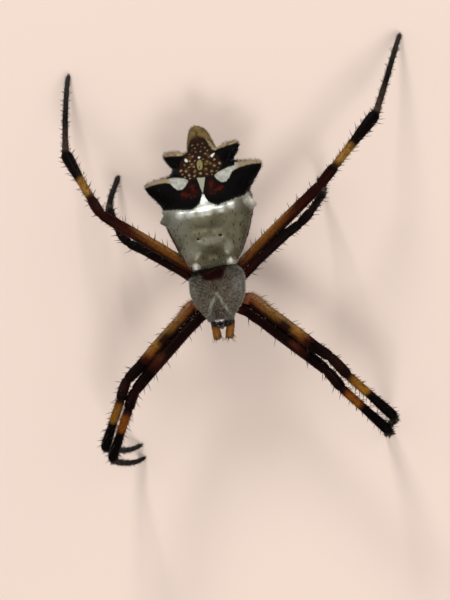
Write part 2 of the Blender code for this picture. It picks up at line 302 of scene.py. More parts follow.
abdomen = {
    "start": (0.0, 2.1, 7.4), "pitch": 17.0, "roll": 6.0, "yaw": 3.0, "skew": 0.05, "body": 10.8,
    "widths": ((0.0, 0.9), (0.2, 1.65), (0.9, 2.15), (2.6, 2.9), (4.2, 3.36), (4.9, 3.4), (5.6, 3.15),
               (7.0, 2.8), (8.3, 2.2), (8.7, 1.82), (9.0, 1.6), (9.15, 1.42), (9.3, 1.16), (9.7, 1.03),
               (10.0, 0.93), (10.8, 0.5)),
    "tops": ((0.0, 0.2), (0.12, 0.6), (0.35, 0.88), (0.8, 1.08), (2.5, 1.3), (4.8, 1.55), (6.5, 1.1),
             (8.3, 0.85), (10.0, 0.6), (10.8, 0.3)),
    "bottoms": ((0.0, 0.25), (0.6, 0.6), (1.3, 1.55), (2.3, 2.5), (4.5, 3.1), (6.6, 2.9), (8.2, 1.9),
                (9.8, 0.9), (10.8, 0.35)),
    # humps and lobes: tip, root, reach, sharpness, how much farther back on the left, and which sides
    "pulls": (((1.4, 0.0, 0.75), (1.15, 0.4, 0.55), 1.0, 1.0, 0.0, (1, -1)),
              ((3.68, 4.2, 0.3), (3.3, 4.26, 0.25), 0.5, 0.8, 0.06, (1, -1)),
              ((4.4, 7.2, 0.8), (2.7, 6.55, 0.4), 1.5, 1.1, 0.15, (1, -1)),
              ((2.87, 9.44, 0.66), (1.68, 8.84, 0.3), 0.86, 2.0, -0.06, (1, -1)),
              ((-0.26, 11.3, 0.3), (-0.1, 10.2, 0.2), 1.25, 1.1, 0.0, (1,))),
    # swellings and pits of the back, the same on both sides: height, middle across and along, half
    # width and half length
    "swellings": ((-0.12, 0.0, 2.95, 2.4, 0.5), (0.035, 1.3, 1.6, 0.9, 0.6), (-0.02, 0.0, 1.6, 0.3, 1.4),
                  (-0.1, 0.85, 1.98, 0.11, 0.11), (0.13, 1.3, 0.3, 0.42, 0.42 / 1.1),
                  (-0.1, 0.0, 0.1, 0.7, 0.4), (0.12, 0.95, 5.95, 0.35, 0.5), (0.05, 2.6, 7.05, 0.6, 0.3),
                  (0.05, 0.0, 8.0, 0.2, 0.6), (0.06, 1.7, 6.85, 0.585, 0.45)),
    # the ridge behind the silver plate: height, middle along, half length, and its beads across
    "ridge": (0.19, 3.84, 0.34), "beads": (0.0, 1.15, 2.2, 3.05),
    "grid": (220, 260),
}
abdomenTurn = (
    Matrix.Rotation(math.radians(abdomen["yaw"]), 4, "Z")
    @ Matrix.Rotation(math.radians(-abdomen["pitch"]), 4, "X")
    @ Matrix.Rotation(math.radians(abdomen["roll"]), 4, "Y")
)
abdomenFrame = Matrix.Translation(abdomen["start"]) @ abdomenTurn


def backRelief(u, v):
    # how far the back stands above its smooth form, u across and v along it
    height, middle, halfLength = abdomen["ridge"]
    beads = max(bell(abs(u) - at, 0.42) for at in abdomen["beads"])
    rise = height * bell(v - middle - 0.06 * u * u, halfLength) * (0.6 + 0.4 * beads)
    for swell, across, along, halfWidth, halfLength in abdomen["swellings"]:
        rise += swell * bell(abs(u) - across, halfWidth) * bell(v - along, halfLength)
    return rise + 0.025 * noise.noise(Vector((u * 2.2, v * 2.2, 3.0)))


def roundEnds(run, share):
    # 0 at both ends of a skin, rising to 1 over a share of its run, so the ends close round
    return min(1.0, (min(run, 1 - run) / share) ** 0.5) if 0 < run < 1 else 0.0


def abdomenShape(turn, run):
    # rings crowd toward the tail, where the lobes are
    y = abdomen["body"] * (run - 0.12 * math.sin(math.tau * run) / math.tau)
    x, z = oval(turn, *(curve(abdomen[part], y) for part in ("widths", "tops", "bottoms")), 0.86)
    ends = roundEnds(run, 0.012)
    base = Vector((x * ends, y, z * ends + (1 - ends) * 0.1))
    point = base.copy()
    for tip, root, reach, sharpness, slant, sides in abdomen["pulls"]:
        for side in sides:
            rootPoint = Vector((side * root[0], root[1] + side * slant, root[2]))
            nearness = max(0.0, 1.0 - (base - rootPoint).length / reach)
            if nearness:
                way = Vector((side * tip[0], tip[1] + side * slant, tip[2])) - rootPoint
                point += way * (3 * nearness**2 - 2 * nearness**3) ** (1 / sharpness)
    if z > 0:
        point.z += backRelief(point.x, point.y) * min(1.0, z / 0.35) * ends
    else:
        folds = noise.noise(Vector((point.x * 1.1, point.y * 3.2, point.z * 1.1)))
        point += Vector((x, 0, z)).normalized() * 0.05 * folds * min(1.0, -z / 0.5) * ends
    return point + Vector((0, abdomen["skew"] * point.x, 0))


def abdomenPoint(turn, run):
    return abdomenFrame @ abdomenShape(turn, run)


# the carapace, the body under it, the waist and the spinnerets

carapace = {
    "front": shieldFront, "rear": 2.6, "margin": 6.2, "thickness": 0.12,
    "widths": ((-2.4, 0.72), (-2.1, 0.82), (-1.5, 1.08), (-0.9, 1.6), (-0.1, 1.99), (0.8, 2.09),
               (1.7, 1.92), (2.6, 0.9)),
    "tops": ((-2.4, 0.62), (-1.9, 0.98), (-1.0, 1.16), (0.0, 1.02), (0.9, 0.9), (1.8, 0.5), (2.6, 0.1)),
    # shallow furrows part the head from the chest and run out between the legs from the middle pit
    "pit": 0.5, "pitDepth": 0.16, "headFurrow": (0.05, 0.12), "legFurrow": (0.03, 0.14),
    "legFurrowAngles": (35, 75, 115),
    "grid": (150, 120),
}


def carapacePoint(turn, run):
    y = mix(carapace["front"], carapace["rear"], run)
    ends = roundEnds(run, 0.02)
    top = curve(carapace["tops"], y)
    x, z = oval(turn, curve(carapace["widths"], y), top, carapace["thickness"], 0.85)
    x, z = x * mix(0.6, 1, ends), z * ends
    if z > 0:
        fromPit = y - carapace["pit"]
        z -= carapace["pitDepth"] * bell(fromPit, 0.45) * bell(x, 0.3)
        depth, width = carapace["headFurrow"]
        ahead = 0.15 - y
        z -= depth * bell(abs(x) - 0.51 * ahead, width) * min(1.0, max(0.0, ahead / 0.3)) * ends
        depth, width = carapace["legFurrow"]
        for angle in map(math.radians, carapace["legFurrowAngles"]):
            across = abs(x) * math.sin(angle) - fromPit * math.cos(angle)
            along = abs(x) * math.cos(angle) + fromPit * math.sin(angle)
            z -= depth * bell(along - 0.1, width) * min(1.0, max(0.0, across - 0.35)) * ends
        z += 0.015 * noise.noise(Vector((x * 4, y * 4, 1.0)))
    if run in (0, 1):
        x = 0.0
    return Vector((shieldMiddle + x, y, carapace["margin"] + z))


underside = {
    "chestWidths": ((-2.1, 0.35), (-1.4, 0.75), (-0.5, 1.2), (0.5, 1.3), (1.4, 0.95), (2.05, 0.4)),
    "chestHeight": 5.78, "chestTop": 0.62, "chestBottom": 0.5,
    "waist": ((1.5, 5.62), (2.9, 5.57)), "waistRadius": 0.36,
    # how far back on the abdomen the spinnerets stand, and each one's place, radius and length
    "spinneretsAt": 7.25, "spinnerets": ((0.2, 0.25, 0.17, 0.72), (0.19, 0.62, 0.14, 0.62),
                                         (0.07, 0.45, 0.08, 0.5)),
    "chestGrid": (64, 40), "waistGrid": (32, 12), "coneGrid": (40, 10), "spinneretGrid": (20, 8),
}


def chestPoint(turn, run):
    # the soft sides under the shield and the heart-shaped sternum below
    widths = underside["chestWidths"]
    y = mix(widths[0][0], widths[-1][0], run)
    ends = math.sqrt(max(0.0, 1 - (2 * run - 1) ** 6))
    width = curve(widths, y)
    x, z = oval(turn, width * ends, underside["chestTop"] * ends, underside["chestBottom"] * ends, 0.8)
    if z < 0:
        z -= 0.05 * bell(abs(x) / max(width, 0.1), 0.75)
    return Vector((x, y, underside["chestHeight"] + z))


def waistPoint(turn, run):
    ends = 0.0 if run in (0, 1) else 1.0
    radius = underside["waistRadius"] * ends
    x, z = oval(turn, radius + 0.06 * abs(2 * run - 1) * ends, radius - 0.04 * ends, radius - 0.04 * ends)
    (front, frontHeight), (rear, rearHeight) = underside["waist"]
    return Vector((x, mix(front, rear, run), mix(frontHeight, rearHeight, run) + z))


def spinneret(seat, tip, radius):
    turned = (tip - seat).to_track_quat("Z", "Y")

    def place(turn, run):
        wide = radius * (1 - 0.35 * run) * math.sqrt(max(0.0, 1 - run**8)) if run > 0 else 0.0
        ring = Vector((math.cos(turn * math.tau), math.sin(turn * math.tau), 0)) * wide
        return abdomenFrame @ (seat.lerp(tip, run) + turned @ ring)
    return place


def trunkForm():
    form = rolled(*abdomen["grid"], abdomenPoint, finish=0)
    rolled(*carapace["grid"], carapacePoint, form, 1)
    rolled(*underside["chestGrid"], chestPoint, form, 2)
    rolled(*underside["waistGrid"], waistPoint, form, 2)
    along = underside["spinneretsAt"]
    belly = Vector((0, along, -curve(abdomen["bottoms"], along)))
    # the low cone that carries the spinnerets, then three pairs of them
    cone = spinneret(belly + Vector((0, 0.2, 0.2)), belly + Vector((0, 0.5, -0.3)), 0.46)
    rolled(*underside["coneGrid"], cone, form, 2)
    for x, y, radius, reach in underside["spinnerets"]:
        for side in (1, -1):
            seat = belly + Vector((side * x, y, -0.1))
            tip = seat + Vector((-side * 0.05, 0.1, 0.15 - reach))
            rolled(*underside["spinneretGrid"], spinneret(seat, tip, radius), form, 2)
    return form


# the legs: joints, a smooth centre line and a skin round it

legs = {
    "coxaRing": (1.28, 1.32), "coxaHeight": 5.62,
    "rootAngles": {1: 42.0, 2: 72.0, 3: 116.0, 4: 145.0},
    "coxaHeadings": {1: 68.0, 2: 82.0, 3: 136.0, 4: 136.0},
    "coxaRises": {1: 2.0, 2: 6.0, 3: -8.0, 4: 4.0},
    "coxaLengths": {1: 1.1, 2: 1.1, 3: 1.1, 4: 1.2},
    # lengths from femur to tarsus
    "lengths": {1: (7.6, 1.9, 4.8, 6.05, 1.65), 2: (7.6, 2.0, 4.6, 6.0, 1.65),
                3: (5.8, 1.4, 2.7, 3.6, 1.3), 4: (8.7, 1.9, 5.1, 7.1, 1.6)},
    # widths of coxa, femur, patella, tibia, metatarsus and tarsus
    "widths": {1: (0.8, 0.9, 0.8, 0.73, 0.42, 0.34), 2: (0.78, 0.87, 0.78, 0.73, 0.42, 0.34),
               3: (0.64, 0.74, 0.7, 0.62, 0.46, 0.4), 4: (0.74, 0.84, 0.78, 0.7, 0.46, 0.36)},
    # outward heading from straight ahead and rise above level, for femur to tarsus; the rise of a
    # metatarsus follows from its foot on the floor
    "poses": {
        ("left", 1): ((47, 7), (36, 20), (42, 4.5), (-71, None), (-30, -77)),
        ("left", 2): ((48, 11), (38, 12), (42, -1), (-52, None), (-57, -78)),
        ("left", 3): ((124.5, 9), (129, 19), (151, -55), (204, None), (209, -61)),
        ("left", 4): ((128, 3), (133, 13), (137, -14), (161, None), (163, -54)),
        ("right", 1): ((45, 20), (16, 46), (30, -26), (-26, None), (-111, -67)),
        ("right", 2): ((46, 18), (14, 43), (30, -26), (-49, None), (-108, -64)),
        ("right", 3): ((125.5, 7), (147, -16), (153, -40), (184, None), (185, -59)),
        ("right", 4): ((128.5, 22), (148, -34), (151, -29), (177.5, None), (178.5, -51)),
    },
    "swells": {
        "coxa": ((0.0, 0.9), (0.5, 1.0), (1.0, 0.96)),
        "femur": ((0.04, 0.93), (0.12, 1.0), (0.3, 1.06), (0.6, 1.04), (0.85, 0.96), (0.94, 0.93)),
        "patella": ((0.06, 0.93), (0.25, 0.98), (0.5, 1.02), (0.8, 1.0), (0.93, 0.92)),
        "tibia": ((0.04, 0.88), (0.12, 0.9), (0.45, 0.86), (0.75, 1.0), (0.9, 1.04), (0.96, 1.0)),
        "rearTibia": ((0.04, 0.88), (0.12, 0.88), (0.4, 0.92), (0.65, 1.14), (0.86, 1.3),
                      (0.96, 1.22)),
        "metatarsus": ((0.03, 1.25), (0.1, 1.05), (0.4, 0.92), (0.7, 0.86), (0.97, 0.84)),
        "tarsus": ((0.06, 1.02), (0.3, 1.0), (0.7, 0.94), (0.95, 0.8)),
    },
    # how far the first pairs and the last pairs close up to each other above the knee
    "leans": {1: -0.03, 2: 0.12, 3: -0.13, 4: 0.03},
    # how much thicker the hip is, how far a segment bows outward, and how the skin narrows at a hip
    # and at a joint: how much and over what length
    "hipSwells": {1: 0.22, 2: 0.26, 3: 0.06, 4: 0.08},
    "bows": {"coxa": 0.0, "femur": 0.13, "patella": 0.05, "tibia": 0.05, "metatarsus": 0.1, "tarsus": 0.05},
    "hipCrease": (0.07, 0.07), "jointCrease": (0.2, 0.075),
    # length of the rounded end of a foot, gap between rings, faces round a leg, rings that soften a bend
    "footEnd": 0.16, "spacing": 0.085, "around": 26, "softening": 4,
}
segmentNames = ("coxa", "femur", "patella", "tibia", "metatarsus", "tarsus")


def sideSign(side):
    return 1 if side == "left" else -1


def direction(side, heading, rise):
    heading, rise = math.radians(heading), math.radians(rise)
    level = math.cos(rise)
    return Vector((sideSign(side) * math.sin(heading) * level, -math.cos(heading) * level, math.sin(rise)))


def legJoints(side, pair):
    angle = math.radians(legs["rootAngles"][pair])
    wide, long = legs["coxaRing"]
    outward, ahead = wide * math.sin(angle), long * math.cos(angle)
    joints = [Vector((sideSign(side) * outward, -ahead, legs["coxaHeight"]))]
    coxaWay = direction(side, legs["coxaHeadings"][pair], legs["coxaRises"][pair])
    joints.append(joints[0] + coxaWay * legs["coxaLengths"][pair])
    lengths, pose = legs["lengths"][pair], legs["poses"][side, pair]
    for length, (heading, rise) in zip(lengths[:3], pose[:3]):
        joints.append(joints[-1] + direction(side, heading, rise) * length)
    footDrop = lengths[4] * math.sin(math.radians(-pose[4][1]))
    slope = -math.degrees(math.asin((joints[-1].z - footDrop) / lengths[3]))
    joints.append(joints[-1] + direction(side, pose[3][0], slope) * lengths[3])
    joints.append(joints[-1] + direction(side, *pose[4]) * lengths[4])
    return joints


class Leg:
    # the rings of one leg: centres, ways along, across and up, and half widths
    def __init__(self, side, pair):
        self.side, self.pair = side, pair
        joints = legJoints(side, pair)
        self.jointAt, self.at, line, widths = [0.0], [], [], []
        for index, name in enumerate(segmentNames):
            start, end = joints[index], joints[index + 1]
            way = (end - start).normalized()
            outward = Vector((start.x, start.y, 0)).normalized() + Vector((0, 0, 1))
            outer = (outward - way * outward.dot(way)).normalized()
            length, begun = (end - start).length, self.jointAt[-1]
            self.jointAt.append(begun + length)
            steps = max(2, round(length / legs["spacing"]))
            for step in range(steps):
                f = step / steps
                line.append(start.lerp(end, f) + outer * legs["bows"][name] * math.sin(math.pi * f))
                self.at.append(mix(begun, begun + length, f))
            swells = legs["swells"]["rearTibia" if pair == 4 and name == "tibia" else name]
            wide = legs["widths"][pair][index] / 2
            widths += [(begun + length * f, wide * swell) for f, swell in swells]
        line.append(joints[-1])
        self.total = self.jointAt[-1]
        self.at.append(self.total)
        self.count = len(line)
        # soften the bends
        self.centres = []
        for index in range(self.count):
            near = min(legs["softening"], index, self.count - 1 - index)
            window = line[index - near:index + near + 1]
            self.centres.append(sum(window, Vector()) / len(window))
        # lean the femur sideways, from nothing at the hip and at the knee
        headward = (joints[2] - joints[1]).cross(Vector((0, 0, sideSign(side)))).normalized()
        knee = self.jointAt[2]
        for index, at in enumerate(self.at):
            lean = min(1.0, max(0.0, at / 1.4 - 0.8), (knee - at) / 1.4) if at < knee else 0.0
            self.centres[index] += headward * legs["leans"][pair] * lean
        after, before = self.centres[1:] + self.centres[-1:], self.centres[:1] + self.centres[:-1]
        self.alongs = [(b - a).normalized() for a, b in zip(before, after)]
        across = self.alongs[0].cross(Vector((0, 0, 1))).normalized()
        self.acrosses = []
        for along in self.alongs:
            across = (across - along * across.dot(along)).normalized()
            self.acrosses.append(across)
        self.wides = []
        hip, footEnd = self.jointAt[1], legs["footEnd"]
        creases = [(hip + 0.3, *legs["hipCrease"])]
        creases += [(joint, *legs["jointCrease"]) for joint in self.jointAt[2:-1]]
        for at in self.at:
            wide = curve(widths, at) * (1 + legs["hipSwells"][pair] * bell(at - hip - 0.1, 0.85))
            for middle, depth, reach in creases:
                wide *= 1 - depth * bell(at - middle, reach)
            fromEnd = self.total - at
            if fromEnd < footEnd:
                wide *= math.sqrt(max(0.0, 1 - (1 - fromEnd / footEnd) ** 2))
            self.wides.append(wide if at > 0 else 0.0)

    def surface(self, turn, index):
        along, across = self.alongs[index], self.acrosses[index]
        normal = across * math.cos(turn * math.tau) + across.cross(along) * math.sin(turn * math.tau)
        point = self.centres[index] + normal * self.wides[index]
        point.z = max(point.z, 0.004)
        return point, normal

    def place(self, turn, run):
        return self.surface(turn, round(run * (self.count - 1)))[0]

    def indexAt(self, at):
        return min(range(self.count), key=lambda i: abs(self.at[i] - at))


# finishes of the trunk

backTones = linearTones({
    "flank": (40, 28, 19), "straw": (128, 108, 66), "waistShade": (20, 11, 8), "belly": (30, 22, 17),
    "bellyBar": (142, 120, 72), "flankStreak": (120, 106, 84), "black": (3, 2, 2), "red": (38, 8, 3),
    "paleRed": (92, 27, 12), "field": (36, 19, 10), "gold": (92, 66, 24), "bead": (156, 136, 112),
    "dullBead": (112, 92, 46), "oblong": (124, 116, 74), "slit": (60, 48, 24), "khaki": (118, 98, 60),
    "darkKhaki": (88, 74, 44), "tailStreak": (44, 32, 16), "rim": (112, 94, 64),
    "paleRim": (166, 150, 120), "patch": (176, 177, 168), "patchEnd": (146, 126, 95),
    "patchVein": (112, 114, 106), "triangle": (150, 150, 134), "dot": (214, 214, 206),
    "silver": (78, 74, 55), "paleSilver": (104, 102, 84), "warmSilver": (74, 60, 34),
    "frontShade": (36, 31, 20), "dipShade": (50, 44, 30), "softHighlight": (158, 157, 144),
    "sideHighlight": (150, 152, 142), "ridge": (206, 209, 202), "ridgeEnd": (96, 94, 80),
    "ridgeLight": (240, 243, 239), "shine": (240, 241, 234), "speck": (20, 16, 12),
})
backMarks = {
    # how far back the silver plate reaches, where it starts, and its half width along the back
    "plateEnd": ((0.0, 5.38), (0.1, 5.32), (0.2, 4.95), (0.35, 4.6), (0.8, 4.3), (1.05, 4.2),
                 (1.5, 4.35), (2.0, 4.5), (2.7, 4.7), (3.1, 4.85), (3.3, 5.2), (4.4, 5.3)),
    "plateStart": ((0.0, 0.02), (0.7, -0.06), (1.2, -0.34), (1.8, -0.22), (2.4, 0.0)),
    "plateHalf": ((0.0, 1.75), (0.2, 2.0), (0.6, 2.2), (1.1, 2.36), (2.4, 2.86), (3.6, 3.26),
                  (3.9, 3.5), (4.16, 4.1), (4.6, 3.9), (5.4, 3.5)),
    # the front edge of the white patches and the half width of the brown field
    "patchLow": ((0.95, 6.95), (1.05, 6.7), (1.28, 6.38), (1.46, 6.22), (1.64, 6.17), (1.86, 6.24),
                 (2.1, 6.47), (2.4, 6.9), (2.8, 7.08), (3.5, 7.14), (4.4, 7.08)),
    "fieldHalf": ((6.8, 1.0), (7.2, 1.35), (7.7, 1.72), (8.2, 1.6), (8.7, 1.3), (9.2, 0.98),
                  (9.7, 0.78), (10.2, 0.62)),
    # the markings' midline lies this far to the spider's right, and farther by this for each
    # millimetre back
    "midline": (0.05, 0.022),
    # round marks: across, along, radius
    "reds": ((0.66, 4.72, 0.5), (0.5, 4.25, 0.46), (1.05, 4.25, 0.42)),
    "paleReds": ((0.7, 6.2, 0.22), (0.72, 5.95, 0.18), (1.28, 5.6, 0.24), (1.0, 5.52, 0.18),
                 (0.62, 5.3, 0.1), (0.88, 5.25, 0.1), (1.5, 5.75, 0.2)),
    "golds": ((0.55, 8.1, 0.3), (1.05, 7.75, 0.28), (0.4, 7.5, 0.25), (0.7, 8.75, 0.22)),
    "beads": ((0.6, 8.17, 0.12), (1.5, 7.86, 0.16), (1.1, 7.7, 0.12), (0.88, 7.3, 0.15),
              (0.45, 7.55, 0.14), (0.48, 7.12, 0.13), (0.0, 7.26, 0.15), (0.45, 7.93, 0.12),
              (1.38, 7.48, 0.1), (0.8, 7.95, 0.1), (0.5, 8.86, 0.13), (0.5, 9.37, 0.12),
              (0.0, 9.71, 0.1), (0.42, 9.8, 0.1), (0.2, 9.15, 0.11), (0.75, 8.5, 0.11),
              (1.15, 8.25, 0.12), (0.25, 9.5, 0.08), (0.7, 9.1, 0.09), (1.2, 7.2, 0.08),
              (0.3, 8.4, 0.09), (0.85, 7.0, 0.08)),
    "ridgeLights": ((0.2, 3.92, 0.47), (1.15, 4.0, 0.45), (1.95, 4.12, 0.4), (0.0, 4.7, 0.4)),
    "pits": ((0.77, 1.98, 0.14), (-0.93, 1.98, 0.13)),
    "specks": ((-1.78, 1.92, 0.09), (0.04, 1.16, 0.08), (0.31, 0.64, 0.08), (0.83, 0.38, 0.09),
               (-0.71, 0.47, 0.08), (0.03, 0.31, 0.1), (2.11, 1.53, 0.09), (-2.2, 1.87, 0.08),
               (-2.05, 1.59, 0.08), (-0.06, 1.71, 0.06), (-2.9, 3.4, 0.07), (-2.6, 2.77, 0.08),
               (-2.35, 2.65, 0.07), (-1.4, 3.0, 0.07), (-1.63, 1.0, 0.08), (2.3, 2.6, 0.07),
               (2.6, 2.9, 0.08), (1.7, 0.9, 0.06), (2.75, 3.3, 0.07)),
}


class BackPlace:
    # where a point lies on the abdomen's markings, and the noises that roughen them
    def __init__(self, finish):
        self.where = finish.place(abdomen["start"], abdomenTurn.to_euler("XYZ")[:])
        self.x, y, self.z = finish.split(self.where)
        outside = self.x.size() - 1.8
        slant = outside.maths("MULTIPLY", outside, 0.5, clamp=True) * (y - 5.5).above(0.0, 0.5)
        # v runs back along the markings, which lean with the lobes, and u across from their midline
        self.v = y - self.x * abdomen["skew"] - self.x * slant * 0.034 * (9.0 - y).above(0.0, 0.5)
        start, slope = backMarks["midline"]
        self.u = self.x + start + y.least(6.0) * slope
        self.side = self.u.size()
        self.streaks = finish.cloud(finish.scaled(self.where, (8.0, 2.6, 4.0)), 1.0, 3.0) - 0.5
        self.lumps = finish.cloud(self.where, 3.2, 3.0) - 0.5
        self.grain = finish.cloud(self.where, 11.0, 3.0)
        self.flat = self.side + self.lumps * 0.3, self.v + self.streaks * 0.16 + self.lumps * 0.2
        self.onTop = self.z.above(-0.2, 0.3)
        self.plateEnd = finish.level(self.side, backMarks["plateEnd"], 4.0, 6.0) + self.streaks * 0.32
        self.fieldHalf = finish.level(self.v, backMarks["fieldHalf"], 0.0, 2.0) + self.lumps * 0.3


def flankColours(finish, at):
    # dark flanks and belly, netted and spotted with straw yellow, with painted shade on the front face
    # above the waist
    where, v, z = at.where, at.v, at.z
    netting = finish.cells(finish.scaled(where, (1.0, 0.7, 1.0)), 1.7, "DISTANCE_TO_EDGE")
    straw = netting.above(0.16, 0.12) * finish.cloud(where, 1.1).above(0.47, 0.12) * z.below(-0.4, 0.5)
    bar = (at.side - 0.85).size().below(0.26 + at.lumps * 0.3, 0.12) * z.below(-1.9, 0.7)
    bar = bar * v.above(2.2, 0.6) * v.below(5.9, 0.5) * finish.cloud(where, 2.4).above(0.42, 0.15)
    streak = finish.cloud(finish.scaled(where, (1.0, 3.5, 0.6)), 1.0).above(0.5, 0.2)
    streak = streak * z.below(0.1) * z.above(-0.8)
    return finish.layered(
        backTones["flank"], backTones, ("straw", straw * 0.65),
        # painted shade on the abdomen's front face, where it overhangs the waist
        ("waistShade", v.below(0.5, 0.3) * z.above(-1.0, 0.4)), ("belly", z.below(-1.6, 0.8) * 0.8),
        ("bellyBar", bar), ("flankStreak", streak * 0.6 * v.below(4.6)))


def blackColours(finish, at, colour):
    # the black rear half with red-brown patches beside the midline
    red = finish.spots(at.side * 0.8, at.v * 0.75, backMarks["reds"], 0.9) * at.onTop
    paler = finish.spots(*at.flat, backMarks["paleReds"], 1.0)
    return finish.layered(
        colour, backTones, ("black", at.v.above(at.plateEnd, 0.12) * at.z.above(-0.6, 0.5)),
        ("red", red * finish.cloud(at.where, 2.1, 3.0).above(0.38, 0.3)),
        ("paleRed", paler * 0.5 * at.onTop))


def fieldColours(finish, at, colour):
    # the brown field of pale beads that runs back to the tail, with an oblong mark in its middle
    u, v = at.u, at.v
    field = v.above(6.85 + at.streaks * 0.2, 0.2) * at.side.below(at.fieldHalf, 0.16) * at.onTop
    gold = finish.spots(*at.flat, backMarks["golds"], 1.0)
    colour = finish.layered(colour, backTones, ("field", field), ("gold", gold * field * 0.8))
    dull = finish.cloud(at.where, 1.7).above(0.52, 0.2)
    tone = finish.blend(backTones["bead"], backTones["dullBead"], dull)
    beads = finish.spots(*at.flat, backMarks["beads"], 0.8) * field
    beads = beads * (0.5 + at.grain * 0.7) * (1.0 - v.above(9.0, 0.6) * 0.5)
    oblong = finish.spots(u * 1.9 + at.lumps * 0.1, v, [(0.0, 8.0, 0.5)], 0.3)
    oblong = oblong.most(finish.spots(u * 1.3, v, [(0.0, 7.78, 0.3)], 0.4))
    slit = finish.spots(u * 3.0, v, [(-0.1, 7.78, 0.17)], 0.6)
    return finish.layered(finish.blend(colour, tone, beads), backTones,
                          ("oblong", oblong * at.onTop), ("slit", slit * at.onTop))


def rimColours(finish, at, colour):
    # khaki tail with a dark streak, cream rims on the rear edges of the lobes
    side, v, lumps, streaks = at.side, at.v, at.lumps, at.streaks
    tail = v.above(10.45 - (side * side).least(0.9) * 0.7 + streaks * 0.3, 0.3) * side.below(1.3, 0.3)
    shade = finish.cloud(at.where, 2.2).above(0.5, 0.3)
    khaki = finish.blend(backTones["khaki"], backTones["darkKhaki"], shade)
    strip = side.above(at.fieldHalf + 0.04, 0.14) * v.above(9.15 + streaks * 0.2, 0.12)
    lobeRim = v.above(9.06 + (side - 1.3) * 0.12 + lumps * 0.16, 0.12) * side.above(1.2, 0.2)
    rim = (strip * side.below(1.5, 0.3)).most(lobeRim) * at.z.above(0.12 + lumps * 0.6, 0.3)
    shade = finish.cloud(at.where, 3.0).above(0.5, 0.3)
    cream = finish.blend(backTones["rim"], backTones["paleRim"], shade)
    colour = finish.blend(finish.blend(colour, cream, rim), khaki, tail)
    streak = side.below(0.09, 0.08) * v.above(10.1) * v.below(10.85, 0.3)
    return finish.blend(colour, backTones["tailStreak"], streak * 0.7)


def whiteColours(finish, at, colour):
    # the white patches, creamier toward the lobe tips, the triangle and the small white marks
    v, side, lumps, streaks = at.v, at.side, at.lumps, at.streaks
    patchLow = finish.level(side, backMarks["patchLow"], 6.0, 7.2) + streaks * 0.16
    patchHigh = (side - 0.95) * 0.36 + 6.98 + lumps * 0.1 - (1.3 - side).most(0.0) * 0.5
    patchHigh = patchHigh.least(7.4 + streaks * 0.14).most(side.above(2.55, 0.2) * 9.0)
    patch = v.above(patchLow, 0.12) * v.below(patchHigh, 0.14) * side.above(1.0, 0.1)
    patch = patch * at.onTop * v.below(7.72)
    creamy = side.above(at.x * 0.07 + 2.6 + lumps * 0.5, 0.4)
    tone = finish.layered(backTones["patch"], backTones, ("patchEnd", creamy),
                          ("patchVein", lumps.above(0.02, 0.25) * 0.6))
    wedge = (v - 5.49) * 0.21 + 0.02
    triangle = side.below(wedge + lumps * 0.05, 0.06) * v.above(5.5) * v.below(6.88 + lumps * 0.2, 0.08)
    dots = finish.spots(side - (v - 8.6) * 0.35 + lumps * 0.3, (v + lumps * 0.3) * 0.8,
                        [(1.0, 6.88, 0.155)])
    dots = dots.most(finish.spots(at.u * 0.8 + lumps * 0.3, v, [(0.0, 8.62, 0.12)]))
    colour = finish.layered(finish.blend(colour, tone, patch), backTones,
                            ("triangle", triangle * at.onTop), ("dot", dots * at.onTop))
    return colour, patch.most(dots).most(triangle)


